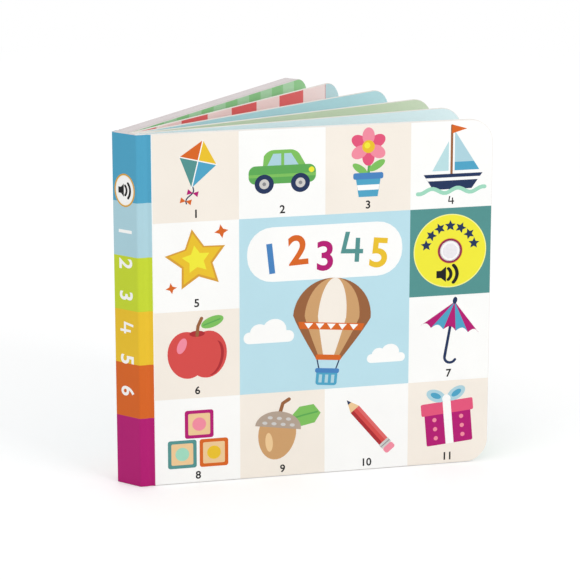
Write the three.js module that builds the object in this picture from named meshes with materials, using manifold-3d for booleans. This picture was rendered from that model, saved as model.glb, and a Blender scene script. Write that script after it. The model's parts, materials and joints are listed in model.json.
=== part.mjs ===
// A battery-powered board book with a push button on its cover, standing fanned open on its lower edge.
// Millimetres, +Z up. The back cover lies along +X and the spine stands at its -X end.

import * as THREE from 'three';
import { mergeVertices } from 'three/addons/utils/BufferGeometryUtils.js';
import Module from 'manifold-3d';

const wasm = await Module();
wasm.setup();

// Driving dimensions: the whole book
const bookHeight = 180;        // head to tail, the same for covers, spine and leaves
const coverWidth = 181.4;      // hinge line to fore-edge
const cornerRadius = 12;       // rounded fore-edge corners of covers and leaves
const edgeBreak = 0.3;         // softened board edges
const backThickness = 2.0;     // back cover board
const spineThickness = 2.0;
const hingeSpacing = 13.8;     // between the two hinge lines, through the middle of each cover
const hingeClearance = 0.3;    // between a cover's rounded hinge edge and the spine
const glueLine = 0.1;          // between plies that are glued together
const runningGap = 0.3;        // around pieces that slide or lift out

// Driving dimensions: how far the book stands open
const spineLean = 6;           // spine normal, turned clockwise from the back cover's direction
const frontOpening = 41;       // front cover, turned on from the spine normal
const leafOpenings = [31.1, 22, 11.1, 0.3];   // leaves from front to back, from the spine normal

// Driving dimensions: the leaves
const leafThickness = 1.2;
const leafWidth = 179.2;       // from the glued edge at the spine to the fore-edge
const bendRadius = 4;          // inside of the bend where the front leaf turns out of the stack
const firstLeafGap = 0.75;     // front leaf behind the front cover's inner face, along the spine
const rootDepth = 1.4;         // glued root that joins all leaves
const rootGap = 0.3;           // glue between the root and the spine

// Driving dimensions: the pressed joint next to each hinge line
const grooveCentre = 4.75;
const grooveWidth = 4.3;
const grooveDepth = 0.45;

// Driving dimensions: the push button in the front cover
const linerThickness = 0.4;
const linerInset = 9;          // liner starts this far from the hinge line
const buttonInset = 21.7;      // in from the fore-edge
const buttonUp = 113;          // from the tail
const buttonRadius = 5;
const buttonLip = 0.4;         // board left in front of the button's flange
const buttonFlange = 1.6;      // flange wider than the cap, each side
const buttonFlangeThickness = 0.35;
const buttonProud = 0.3;
const buttonTravel = 0.35;
const padThickness = 0.3;      // contact board behind the button
const domeRadius = 3.6;
const domeHeight = 0.2;
const domeSheet = 0.1;

// Driving dimensions: the sound module in the back cover
const spacerThickness = 5.0;
const packStart = 2.9;         // spacer and last page start this far from the hinge line
const moduleAlong = 104;       // middle of the module, from the hinge line
const moduleUp = 92;
const faceWidth = 104;
const faceHeight = 58;
const faceCorner = 4;
const faceThickness = 1.6;
const faceRecess = 0.3;        // face plate below the back cover's outer face
const moduleWall = 1.4;
const flangeReach = 4;         // flange past the face plate's cut-out, on every side
const flangeThickness = 1.0;
const lidThickness = 0.7;

// Driving dimensions: speaker
const speakerRadius = 14;
const speakerDepth = 4.0;
const speakerSheet = 0.6;
const speakerShoulder = 4;     // the basket narrows by this much towards its back
const speakerRimDepth = 1.6;
const coneSeat = 0.8;          // ledge that holds the cone's rim, in width and in depth
const coneDepth = 1.4;
const speakerAlong = -31;      // from the middle of the module
const magnetRadius = 6;
const magnetDepth = 2.0;
const coneSheet = 0.3;
const grilleHoleRadius = 1.25;
const grillePitch = 4.4;
const grilleRings = 2;

// Driving dimensions: button cells and their bay
const cellRadius = 5.8;
const cellThickness = 3.05;
const cellCount = 3;
const cellSpacing = 12.2;
const bayAlong = 18;           // middle of the bay, from the middle of the module
const bayUp = 13.6;
const bayWall = 1.0;
const bayFloor = 0.9;
const contactSheet = 0.3;
const contactWidth = 6;
const tabWidth = 2.4;
const tabReach = 2.5;          // contact tabs past the bay's lower wall
const cellCrown = 1.2;         // the cell's small pole is narrower by this much, each side
const cellStep = 0.25;
const cellEdge = 0.2;
const doorThickness = 1.2;
const doorCorner = 1.2;
const doorLedge = 1.6;
const doorScrewLand = 9;       // longer end of the door, where its screw sits
const screwHeadRadius = 1.9;
const screwHeadHeight = 0.8;
const screwShankRadius = 0.9;
const screwLength = 5.0;
const screwCross = [2.4, 0.5, 0.35];   // length, width and depth of the drive cross
const bossWall = 1.6;
const bossFloor = 0.6;

// Driving dimensions: circuit board and switch
const boardWidth = 46;
const boardHeight = 22;
const boardThickness = 1.0;
const boardAlong = 20;
const boardDrop = 14.2;        // middle of the circuit board below the middle of the module
const chipRadius = 4.2;
const chipHeight = 0.8;
const switchAlong = 34;
const switchDrop = 21;
const switchWidth = 10.4;
const switchHeight = 5;
const knobWidth = 3.4;
const knobHeight = 2.2;
const knobTravel = 3;
const knobProud = 0.5;
const knobRoot = 0.8;          // how far the knob reaches into the switch
const knobRib = [0.4, 0.3];    // width and depth of the grooves in the knob
const wireRadius = 0.5;
const wireSpacing = 4;
const wireFall = 4;            // the wires leave the speaker this much above their ends
const wireReach = 3;           // how far they reach over the circuit board

const roundSteps = 32;
const smallRoundSteps = 16;

// Materials
const finish = (color, roughness, metalness = 0) =>
  new THREE.MeshStandardMaterial({ color, roughness, metalness });
const paint = {
  cover: finish(0xcfe2ea, 0.45),
  liner: finish(0xf4efe6, 0.6),
  spine: finish(0x4e9bba, 0.45),
  pages: finish(0xdccbc7, 0.6),
  greenPage: finish(0x8cbe82, 0.6),
  greyboard: finish(0xa79f94, 0.9),
  whitePlastic: finish(0xf0f0f2, 0.4),
  blackPlastic: finish(0x1c1c1e, 0.5),
  module: finish(0xe9e9e6, 0.45),
  circuit: finish(0x2f6b46, 0.5),
  resin: finish(0x101010, 0.35),
  steel: finish(0xb9bcc0, 0.3, 1),
  magnet: finish(0x6c6f73, 0.4, 1),
  film: finish(0xc9bfa0, 0.35),
  redWire: finish(0xb02222, 0.5),
  blackWire: finish(0x181818, 0.5),
};

// Solids: closed geometry in, closed geometry out, with exact joins and cuts between
const toSolid = (geometry) => {
  const bare = geometry.clone();
  bare.deleteAttribute('normal');
  bare.deleteAttribute('uv');
  const merged = mergeVertices(bare, 1e-4);
  return new wasm.Manifold(new wasm.Mesh({
    numProp: 3,
    vertProperties: new Float32Array(merged.attributes.position.array),
    triVerts: new Uint32Array(merged.index.array),
  }));
};

const toGeometry = (solid) => {
  const { vertProperties, triVerts } = solid.getMesh();
  const geometry = new THREE.BufferGeometry();
  geometry.setAttribute('position', new THREE.BufferAttribute(vertProperties, 3));
  geometry.setIndex(new THREE.BufferAttribute(triVerts, 1));
  geometry.computeVertexNormals();
  return geometry;
};

const piece = (name, solid, material) => {
  const mesh = new THREE.Mesh(toGeometry(solid), material);
  mesh.name = name;
  return mesh;
};

const join = (first, ...rest) => rest.reduce((whole, next) => whole.add(next), first);
const cut = (first, ...tools) => tools.reduce((whole, tool) => whole.subtract(tool), first);

// A block between two corners
const block = (x, y, z) => toSolid(
  new THREE.BoxGeometry(x[1] - x[0], y[1] - y[0], z[1] - z[0])
    .translate((x[0] + x[1]) / 2, (y[0] + y[1]) / 2, (z[0] + z[1]) / 2));

// A round bar along Y between two depths
const bar = (radius, y, x, z, steps = roundSteps) => toSolid(
  new THREE.CylinderGeometry(radius, radius, y[1] - y[0], steps)
    .translate(x, (y[0] + y[1]) / 2, z));

// A turned piece: its profile is (radius, depth), and depth runs inward from the face given
const turned = (profile, x, face, z, inward, steps = roundSteps) => {
  const points = profile.map(([radius, depth]) => new THREE.Vector2(radius, inward * depth));
  if (THREE.ShapeUtils.area(points) < 0) points.reverse();
  return toSolid(new THREE.LatheGeometry(points, steps).translate(x, face, z));
};

// An outline drawn in X and Z, spread over a range of Y
const plate = (outline, y, soft = 0) => toSolid(
  new THREE.ExtrudeGeometry(outline, {
    depth: y[1] - y[0] - 2 * soft,
    bevelEnabled: soft > 0,
    bevelThickness: soft,
    bevelSize: soft,
    bevelOffset: -soft,
    bevelSegments: 1,
    curveSegments: 8,
  }).rotateX(Math.PI / 2).translate(0, y[1] - soft, 0));

// An outline drawn in X and Y, standing from the tail to the head
const upright = (outline, low = 0, high = bookHeight) => toSolid(
  new THREE.ExtrudeGeometry(outline, { depth: high - low, bevelEnabled: false, curveSegments: 10 })
    .translate(0, 0, low));

// A sheet's face: square at the hinge side, rounded at the two fore-edge corners
const sheetOutline = (start, end) => {
  const radius = cornerRadius;
  const outline = new THREE.Shape();
  outline.moveTo(start, 0);
  outline.lineTo(end - radius, 0);
  outline.absarc(end - radius, radius, radius, -Math.PI / 2, 0, false);
  outline.lineTo(end, bookHeight - radius);
  outline.absarc(end - radius, bookHeight - radius, radius, 0, Math.PI / 2, false);
  outline.lineTo(start, bookHeight);
  outline.closePath();
  return outline;
};

const roundedOutline = (x, z, width, height, radius) => {
  const left = x - width / 2;
  const low = z - height / 2;
  const outline = new THREE.Shape();
  outline.moveTo(left + radius, low);
  outline.lineTo(left + width - radius, low);
  outline.absarc(left + width - radius, low + radius, radius, -Math.PI / 2, 0, false);
  outline.lineTo(left + width, low + height - radius);
  outline.absarc(left + width - radius, low + height - radius, radius, 0, Math.PI / 2, false);
  outline.lineTo(left + radius, low + height);
  outline.absarc(left + radius, low + height - radius, radius, Math.PI / 2, Math.PI, false);
  outline.lineTo(left, low + radius);
  outline.absarc(left + radius, low + radius, radius, Math.PI, 1.5 * Math.PI, false);
  outline.closePath();
  return outline;
};

// A cover board seen from above: rounded at the hinge line, pressed joint on its outer face.
// The hinge line is at X = 0, the outer face at -side * radius and the inner face at the level given.
const coverSection = (radius, inner, side) => {
  const section = new THREE.Shape();
  const half = grooveWidth / 2;
  const steps = 10;
  section.moveTo(coverWidth, side * inner);
  section.lineTo(coverWidth, -side * radius);
  for (let step = 0; step <= steps; step += 1) {
    const fall = grooveDepth * (1 - Math.cos(2 * Math.PI * step / steps)) / 2;
    section.lineTo(grooveCentre + half - grooveWidth * step / steps, -side * (radius - fall));
  }
  for (let step = 0; step <= steps; step += 1) {
    const turn = -Math.PI / 2 - Math.PI * step / steps;
    section.lineTo(radius * Math.cos(turn), side * radius * Math.sin(turn));
  }
  section.lineTo(linerInset - glueLine, side * radius);
  section.lineTo(linerInset - glueLine, side * inner);
  section.closePath();
  return section;
};

const coverBoard = (radius, inner, side) => {
  const depths = [-radius, Math.max(radius, inner)].map((depth) => side * depth).sort((p, q) => p - q);
  const face = sheetOutline(-2 * radius, coverWidth);
  return upright(coverSection(radius, inner, side)).intersect(plate(face, depths, edgeBreak));
};

// Plan of the spine: X runs inward along the spine normal, Y from the front hinge to the back hinge,
// and the origin is on the spine's outer face at the front hinge line.
const frontThickness = buttonLip + buttonFlangeThickness + buttonTravel + domeHeight + padThickness
  + linerThickness + 4 * glueLine;
const frontRadius = frontThickness / 2;
const backRadius = backThickness / 2;

const spinePanel = () => {
  const low = frontRadius + hingeClearance;
  const high = hingeSpacing - backRadius - hingeClearance;
  const outline = new THREE.Shape([
    [0, 0], [frontRadius, 0], [frontRadius, low], [spineThickness, low],
    [spineThickness, high], [backRadius, high], [backRadius, hingeSpacing], [0, hingeSpacing],
  ].map(([depth, along]) => new THREE.Vector2(depth, along)));
  const eye = (radius, along) => toSolid(
    new THREE.CylinderGeometry(radius + hingeClearance, radius + hingeClearance, 2 * bookHeight, roundSteps)
      .rotateX(Math.PI / 2).translate(radius, along, bookHeight / 2));
  return cut(upright(outline), eye(frontRadius, 0), eye(backRadius, hingeSpacing));
};

// Leaves: a stack glued at its root bends round one centre, and each leaf runs on straight from its own turn
const radians = THREE.MathUtils.degToRad;
const firstLeafAlong = () => {
  const opening = radians(frontOpening);
  const innerFace = frontRadius;
  const depth = spineThickness + rootGap - frontRadius;
  return (innerFace - depth * Math.sin(opening)) / Math.cos(opening) + firstLeafGap;
};
const leafRootDepth = spineThickness + rootGap;
const stackStart = firstLeafAlong();
const stackEnd = stackStart + leafOpenings.length * leafThickness;

const leaf = (opening, index) => {
  const inside = bendRadius + index * leafThickness;
  const outside = inside + leafThickness;
  const middle = (inside + outside) / 2;
  const turn = radians(opening);
  const straight = leafWidth - rootDepth - middle * turn;
  const centre = new THREE.Vector2(leafRootDepth + rootDepth, stackStart - bendRadius);
  const steps = Math.max(1, Math.round(opening / 5));
  const at = (radius, angle, run) => new THREE.Vector2(
    centre.x + radius * Math.sin(angle) + run * Math.cos(angle),
    centre.y + radius * Math.cos(angle) - run * Math.sin(angle));
  const outline = [new THREE.Vector2(leafRootDepth, centre.y + inside)];
  for (let step = 0; step <= steps; step += 1) outline.push(at(inside, turn * step / steps, 0));
  outline.push(at(inside, turn, straight), at(outside, turn, straight));
  for (let step = steps; step >= 0; step -= 1) outline.push(at(outside, turn * step / steps, 0));
  outline.push(new THREE.Vector2(leafRootDepth, centre.y + outside));
  const bent = upright(new THREE.Shape(outline));
  const face = plate(sheetOutline(0, straight), [-leafThickness / 2, leafThickness / 2], edgeBreak);
  const gutter = block([-leafRootDepth - bendRadius, edgeBreak], [-bookHeight, bookHeight], [0, bookHeight]);
  const start = at(middle, turn, 0);
  const trim = join(face, gutter).rotate([0, 0, -opening]).translate([start.x, start.y, 0]);
  return bent.intersect(trim);
};

const pageBlock = () => {
  const root = block([leafRootDepth, leafRootDepth + rootDepth], [stackStart, stackEnd], [0, bookHeight]);
  return join(root, ...leafOpenings.map(leaf));
};

// Front cover: hinge line at the origin, X along the cover, +Y inward
const frontInner = frontRadius - linerThickness - glueLine;
const buttonReach = buttonRadius + buttonFlange;
const buttonWell = buttonReach + runningGap;
const lipBack = -frontRadius + buttonLip;
const buttonAlong = coverWidth - buttonInset;

const frontBoard = () => cut(
  coverBoard(frontRadius, frontInner, 1),
  bar(buttonRadius + runningGap, [-2 * frontRadius, lipBack + glueLine], buttonAlong, buttonUp),
  bar(buttonWell, [lipBack, 2 * frontRadius], buttonAlong, buttonUp));

const coverLiner = () => plate(sheetOutline(linerInset, coverWidth - edgeBreak), [frontInner + glueLine, frontRadius]);

const flangeFront = lipBack + glueLine;
const flangeBack = flangeFront + buttonFlangeThickness;
const capFace = -frontRadius - buttonProud;
const buttonCap = () => turned([
  [0, 0],
  [buttonRadius - buttonProud, 0],
  [buttonRadius, buttonProud],
  [buttonRadius, flangeFront - capFace],
  [buttonReach, flangeFront - capFace],
  [buttonReach, flangeBack - capFace],
  [0, flangeBack - capFace],
], buttonAlong, capFace, buttonUp, 1);

const padBack = frontInner;
const padFront = padBack - padThickness;
const buttonPad = () => bar(buttonWell - runningGap, [padFront, padBack], buttonAlong, buttonUp);

// A shallow sprung metal dome, its rim on the contact board
const buttonDome = () => {
  const steps = 5;
  const arch = (radius, height) => Array.from({ length: steps + 1 }, (_, step) =>
    [radius * step / steps, domeHeight - height * (1 - (step / steps) ** 2)]);
  const outer = arch(domeRadius, domeHeight);
  const inner = arch(domeRadius - domeSheet, domeHeight - domeSheet);
  return turned([...outer, ...inner.reverse()], buttonAlong, padFront - glueLine - domeHeight, buttonUp, 1, 24);
};

// Back cover: hinge line at the origin, X along the cover, -Y inward
const backFace = backRadius;
const backInner = -backRadius;
const spacerFront = backInner - glueLine;
const spacerBack = spacerFront - spacerThickness;
const pageFront = spacerBack - glueLine;
const pageBack = pageFront - leafThickness;
const moduleFace = backFace - faceRecess;
const moduleFaceBack = moduleFace - faceThickness;
const moduleX = (along) => moduleAlong + along;
const moduleZ = (up) => moduleUp + up;
const flangeWidth = faceWidth + 2 * flangeReach;
const flangeHeight = faceHeight + 2 * flangeReach;

const backBoard = () => cut(
  coverBoard(backRadius, backRadius, -1),
  plate(roundedOutline(moduleAlong, moduleUp, faceWidth + 2 * runningGap, faceHeight + 2 * runningGap,
    faceCorner + runningGap), [-2 * backRadius, 2 * backRadius]));

const spacerFrame = () => cut(
  plate(sheetOutline(packStart, coverWidth - edgeBreak), [spacerBack, spacerFront]),
  plate(roundedOutline(moduleAlong, moduleUp, flangeWidth + 2 * runningGap, flangeHeight + 2 * runningGap,
    faceCorner + flangeReach), [2 * spacerBack, 0]));

const lastPage = () => plate(sheetOutline(packStart, coverWidth), [pageBack, pageFront], edgeBreak);

// Module depths, counted inward from the face plate
const lidBack = spacerBack;
const lidFront = lidBack + lidThickness;
const wallBack = lidFront + glueLine;
const doorFace = moduleFace;
const doorBack = doorFace - doorThickness;
const upperContact = doorBack - glueLine;
const cellFace = upperContact - contactSheet - glueLine;
const cellBack = cellFace - cellThickness;
const lowerContact = cellBack - glueLine;
const lowerContactBack = lowerContact - contactSheet;
const bayFloorFace = lowerContactBack - glueLine;
const bayFloorBack = Math.max(bayFloorFace - bayFloor, wallBack);
const boardBack = lowerContact + glueLine;
const boardFront = boardBack + boardThickness;

const bayLength = (cellCount - 1) * cellSpacing + 2 * (cellRadius + runningGap);
const bayHeight = 2 * (cellRadius + runningGap) + contactSheet + runningGap;
const bayCentre = new THREE.Vector2(moduleX(bayAlong), moduleZ(bayUp));
const bayLeft = bayCentre.x - bayLength / 2;
const bayRight = bayCentre.x + bayLength / 2;
const bayLow = bayCentre.y - bayHeight / 2;
const bayHigh = bayCentre.y + bayHeight / 2;
const cellX = (index) => bayLeft + cellRadius + runningGap + index * cellSpacing;
const cellZ = bayHigh - runningGap - cellRadius;
const doorLeft = bayLeft - doorLedge;
const doorRight = bayRight + doorScrewLand;
const doorLow = bayLow - doorLedge;
const doorHigh = bayHigh + doorLedge;
const screwX = bayRight + bayWall + (doorScrewLand - bayWall) / 2;
const tabX = [cellX(0), cellX(cellCount - 1)];
const speakerX = moduleX(speakerAlong);
const switchX = moduleX(switchAlong);
const switchZ = moduleZ(-switchDrop);
const slotLength = knobWidth + knobTravel + 2 * runningGap;

// Speaker holes in rings of six, twelve and so on round one middle hole
const grilleHoles = () => {
  const holes = [bar(grilleHoleRadius, [moduleFaceBack - 1, moduleFace + 1], speakerX, moduleUp, smallRoundSteps)];
  for (let ring = 1; ring <= grilleRings; ring += 1) {
    for (let index = 0; index < 6 * ring; index += 1) {
      const turn = 2 * Math.PI * index / (6 * ring);
      holes.push(bar(grilleHoleRadius, [moduleFaceBack - 1, moduleFace + 1],
        speakerX + ring * grillePitch * Math.cos(turn), moduleUp + ring * grillePitch * Math.sin(turn),
        smallRoundSteps));
    }
  }
  return holes;
};

const moduleHousing = () => {
  const face = plate(roundedOutline(moduleAlong, moduleUp, faceWidth, faceHeight, faceCorner),
    [moduleFaceBack, moduleFace]);
  const flange = plate(roundedOutline(moduleAlong, moduleUp, flangeWidth, flangeHeight,
    faceCorner + flangeReach - runningGap), [spacerFront - flangeThickness, spacerFront]);
  const shell = join(
    plate(roundedOutline(moduleAlong, moduleUp, faceWidth, faceHeight, faceCorner), [wallBack, moduleFaceBack]),
    flange);
  const hollow = plate(roundedOutline(moduleAlong, moduleUp, faceWidth - 2 * moduleWall,
    faceHeight - 2 * moduleWall, faceCorner - moduleWall), [2 * wallBack, moduleFaceBack]);
  const bay = block([bayLeft - bayWall, bayRight + bayWall], [bayFloorBack, moduleFaceBack],
    [bayLow - bayWall, bayHigh + bayWall]);
  const boss = bar(screwShankRadius + bossWall, [wallBack, moduleFaceBack], screwX, cellZ, 24);
  const bayHollow = block([bayLeft, bayRight], [bayFloorFace, moduleFace + 1], [bayLow, bayHigh]);
  const doorSeat = block([doorLeft - runningGap, doorRight + runningGap], [doorBack - glueLine, moduleFace + 1],
    [doorLow - runningGap, doorHigh + runningGap]);
  const pilot = bar(screwShankRadius + glueLine, [wallBack + bossFloor, moduleFace + 1], screwX, cellZ, smallRoundSteps);
  const slot = block([switchX - slotLength / 2, switchX + slotLength / 2], [moduleFaceBack - 1, moduleFace + 1],
    [switchZ - knobHeight / 2 - runningGap, switchZ + knobHeight / 2 + runningGap]);
  const notches = tabX.map((x) => block(
    [x - tabWidth / 2 - runningGap, x + tabWidth / 2 + runningGap],
    [bayFloorFace, lowerContact + glueLine],
    [bayLow - bayWall - 1, bayLow + 1]));
  const rim = bar(speakerRadius + bayWall + runningGap, [moduleFaceBack - speakerSheet, moduleFaceBack], speakerX,
    moduleUp).subtract(bar(speakerRadius + runningGap, [2 * wallBack, 0], speakerX, moduleUp));
  const body = join(cut(shell, hollow), face, bay, boss, rim);
  return cut(body, bayHollow, doorSeat, pilot, slot, ...notches, ...grilleHoles());
};

const moduleLid = () => plate(
  roundedOutline(moduleAlong, moduleUp, faceWidth, faceHeight, faceCorner), [lidBack, lidFront]);

// Speaker: a pressed basket, a film cone clamped at its rim, and a magnet closing the back
const speakerFront = moduleFaceBack - glueLine;
const basketBack = speakerFront - speakerDepth;
const speakerBasket = () => turned([
  [magnetRadius + glueLine, speakerDepth],
  [magnetRadius + glueLine, speakerDepth - speakerSheet],
  [speakerRadius - speakerShoulder, speakerDepth - speakerSheet],
  [speakerRadius - 2 * coneSeat, speakerRimDepth],
  [speakerRadius - 2 * coneSeat, coneSeat],
  [speakerRadius - coneSeat, coneSeat],
  [speakerRadius - coneSeat, 0],
  [speakerRadius, 0],
  [speakerRadius, speakerRimDepth],
  [speakerRadius - speakerShoulder + speakerSheet, speakerDepth],
  [magnetRadius + glueLine, speakerDepth],
], speakerX, speakerFront, moduleUp, -1);

const speakerCone = () => {
  const rim = speakerRadius - coneSeat - glueLine;
  const shares = [[0, 0.15], [0.23, 0.36], [0.38, 1], [0.65, 0.43], [0.76, 0.15], [0.88, 0.28], [1, 0.28]];
  const face = shares.map(([out, down]) => [out * rim, down * coneDepth]);
  const back = face.map(([radius, depth]) => [radius, depth + coneSheet]).reverse();
  return turned([...face, ...back], speakerX, speakerFront, moduleUp, -1);
};

const speakerMagnet = () => bar(magnetRadius, [basketBack, basketBack + magnetDepth], speakerX, moduleUp);

// Button cells, alternately up and down, with the contacts that join them in series
const contact = (from, to, level) => block([from - contactWidth / 2, to + contactWidth / 2],
  [level - contactSheet, level], [cellZ - contactWidth / 2, cellZ + contactWidth / 2]);
const tabEnd = bayLow - bayWall - tabReach;
const tab = (x, level, high) => block([x - tabWidth / 2, x + tabWidth / 2],
  [level - contactSheet, level], [tabEnd, high]);

const contactMinus = () => join(contact(cellX(0), cellX(0), lowerContact), tab(cellX(0), lowerContact, cellZ));
const contactPlus = () => {
  const x = cellX(cellCount - 1);
  const legFace = bayLow + runningGap / 2;
  return join(
    contact(x, x, upperContact),
    block([x - tabWidth / 2, x + tabWidth / 2], [upperContact - contactSheet, upperContact], [legFace, cellZ]),
    block([x - tabWidth / 2, x + tabWidth / 2], [lowerContactBack, upperContact],
      [legFace, legFace + contactSheet]),
    tab(x, lowerContact, legFace + contactSheet));
};
const lowerBridge = () => contact(cellX(1), cellX(cellCount - 1), lowerContact);
const upperBridge = () => contact(cellX(0), cellX(1), upperContact);
const buttonCell = (index) => {
  const crown = cellRadius - cellCrown;
  return turned([
    [0, 0], [crown, 0], [crown, cellStep], [cellRadius - cellEdge, cellStep], [cellRadius, cellStep + cellEdge],
    [cellRadius, cellThickness - cellEdge], [cellRadius - cellEdge, cellThickness], [0, cellThickness],
  ], cellX(index), cellFace, cellZ, -1);
};

const batteryDoor = () => cut(
  plate(roundedOutline((doorLeft + doorRight) / 2, (doorLow + doorHigh) / 2, doorRight - doorLeft,
    doorHigh - doorLow, doorCorner), [doorBack, doorFace]),
  bar(screwShankRadius + runningGap, [doorBack - 1, doorFace + 1], screwX, cellZ, smallRoundSteps),
  bar(screwHeadRadius + runningGap, [doorFace - screwHeadHeight, doorFace + 1], screwX, cellZ, 24));

const doorScrew = () => {
  const head = bar(screwHeadRadius, [doorFace - screwHeadHeight + glueLine, doorFace], screwX, cellZ, 24);
  const shank = bar(screwShankRadius, [doorFace - screwLength, doorFace - screwHeadHeight / 2], screwX, cellZ,
    smallRoundSteps);
  const [length, width, depth] = screwCross;
  const slot = (across, up) => block([screwX - across / 2, screwX + across / 2],
    [doorFace - depth, doorFace + 1], [cellZ - up / 2, cellZ + up / 2]);
  return cut(join(head, shank), slot(length, width), slot(width, length));
};

// Circuit board with its resin-covered chip, and the slide switch between it and the face plate
const boardX = moduleX(boardAlong);
const boardZ = moduleZ(-boardDrop);
const circuitBoard = () => block([boardX - boardWidth / 2, boardX + boardWidth / 2], [boardBack, boardFront],
  [boardZ - boardHeight / 2, boardZ + boardHeight / 2]);

const chipBlob = () => {
  const steps = 5;
  const profile = [[0, 0]];
  for (let step = 0; step <= steps; step += 1) {
    const turn = Math.PI / 2 * step / steps;
    profile.push([chipRadius * Math.cos(turn), chipHeight * Math.sin(turn)]);
  }
  profile[profile.length - 1][0] = 0;
  return turned(profile, boardX - boardWidth / 5, boardBack - glueLine, boardZ, -1, 24);
};

const switchFront = moduleFaceBack - glueLine;
const switchBack = boardFront + glueLine;
const switchBody = () => cut(
  block([switchX - switchWidth / 2, switchX + switchWidth / 2], [switchBack, switchFront],
    [switchZ - switchHeight / 2, switchZ + switchHeight / 2]),
  block([switchX - slotLength / 2, switchX + slotLength / 2], [switchFront - knobRoot - runningGap, switchFront + 1],
    [switchZ - knobHeight / 2 - runningGap, switchZ + knobHeight / 2 + runningGap]));

// The knob stands at the off end of its slot
const knobX = switchX - knobTravel / 2;
const switchKnob = () => {
  const knob = block([knobX - knobWidth / 2, knobX + knobWidth / 2], [switchFront - knobRoot, moduleFace + knobProud],
    [switchZ - knobHeight / 2, switchZ + knobHeight / 2]);
  const [width, depth] = knobRib;
  const grooves = [-1, 0, 1].map((index) => block(
    [knobX + index * knobWidth / 4 - width / 2, knobX + index * knobWidth / 4 + width / 2],
    [moduleFace + knobProud - depth, moduleFace + knobProud + 1],
    [switchZ - knobHeight, switchZ + knobHeight]));
  return cut(knob, ...grooves);
};

// Two insulated wires from the speaker's terminals to the circuit board
const wire = (points) => toSolid(new THREE.ExtrudeGeometry(
  new THREE.Shape().absarc(0, 0, wireRadius, 0, 2 * Math.PI, false),
  { steps: 14, curveSegments: 4, bevelEnabled: false, extrudePath: new THREE.CatmullRomCurve3(points) }));

const speakerWire = (offset) => {
  const level = boardBack - wireRadius - glueLine;
  const startX = speakerX + speakerRadius - 2 * wireRadius;
  const endX = boardX - boardWidth / 2 + wireReach;
  const startZ = boardZ + offset + wireFall;
  return wire([
    new THREE.Vector3(startX, level, startZ),
    new THREE.Vector3(startX + (endX - startX) * 0.4, level, startZ - wireFall / 4),
    new THREE.Vector3(startX + (endX - startX) * 0.7, level, boardZ + offset),
    new THREE.Vector3(endX, level, boardZ + offset),
  ]);
};

// Assembly
const turn = (group, degrees) => {
  group.rotation.z = radians(degrees);
  return group;
};

const button = new THREE.Group();
button.add(piece('try_me_button', buttonCap(), paint.whitePlastic));

const frontCover = new THREE.Group();
frontCover.add(
  piece('front_cover_board', frontBoard(), paint.cover),
  piece('cover_liner', coverLiner(), paint.liner),
  piece('button_contact_board', buttonPad(), paint.circuit),
  piece('button_dome', buttonDome(), paint.steel),
  button);

const module = new THREE.Group();
module.add(
  piece('module_housing', moduleHousing(), paint.module),
  piece('module_lid', moduleLid(), paint.module),
  piece('speaker_basket', speakerBasket(), paint.steel),
  piece('speaker_cone', speakerCone(), paint.film),
  piece('speaker_magnet', speakerMagnet(), paint.magnet),
  piece('circuit_board', circuitBoard(), paint.circuit),
  piece('chip_blob', chipBlob(), paint.resin),
  piece('switch_body', switchBody(), paint.steel),
  piece('switch_knob', switchKnob(), paint.blackPlastic),
  piece('battery_door', batteryDoor(), paint.module),
  piece('door_screw', doorScrew(), paint.steel),
  piece('contact_minus', contactMinus(), paint.steel),
  piece('contact_plus', contactPlus(), paint.steel),
  piece('contact_lower_bridge', lowerBridge(), paint.steel),
  piece('contact_upper_bridge', upperBridge(), paint.steel),
  piece('speaker_wire_red', speakerWire(wireSpacing / 2), paint.redWire),
  piece('speaker_wire_black', speakerWire(-wireSpacing / 2), paint.blackWire));
for (let index = 0; index < cellCount; index += 1) {
  module.add(piece(`button_cell_${index + 1}`, buttonCell(index), paint.steel));
}

const backCover = new THREE.Group();
backCover.add(
  piece('back_cover_board', backBoard(), paint.cover),
  piece('spacer_frame', spacerFrame(), paint.greyboard),
  piece('last_page', lastPage(), paint.greenPage),
  module);

const spine = new THREE.Group();
spine.add(
  piece('spine_panel', spinePanel(), paint.spine),
  piece('page_block', pageBlock(), paint.pages));

// The spine's plan frame leans with the spine, and each cover is turned about its own hinge line
turn(spine, -spineLean);
frontCover.position.set(frontRadius, 0, 0);
turn(frontCover, -frontOpening);
backCover.position.set(backRadius, hingeSpacing, 0);
turn(backCover, spineLean);
spine.add(frontCover, backCover);

// The origin is the middle of the footprint, on the surface that the book stands on
const book = new THREE.Group();
book.add(spine);
book.updateMatrixWorld(true);
const reach = new THREE.Box3().setFromObject(book, true);
spine.position.set(-(reach.min.x + reach.max.x) / 2, -(reach.min.y + reach.max.y) / 2, -reach.min.z);
book.updateMatrixWorld(true);

export default book;
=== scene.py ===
"""Looks of an interactive board book: print, laminated folds, board edges, button and sound module.

The book stands fanned open on its lower edge. Sizes are in millimetres unless a name says otherwise,
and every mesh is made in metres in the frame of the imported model.
"""

from __future__ import annotations

import json
import logging
import math
from dataclasses import dataclass, field
from enum import Enum
from typing import Callable, Sequence

import bmesh
import bpy
from mathutils import Matrix, Vector


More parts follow.
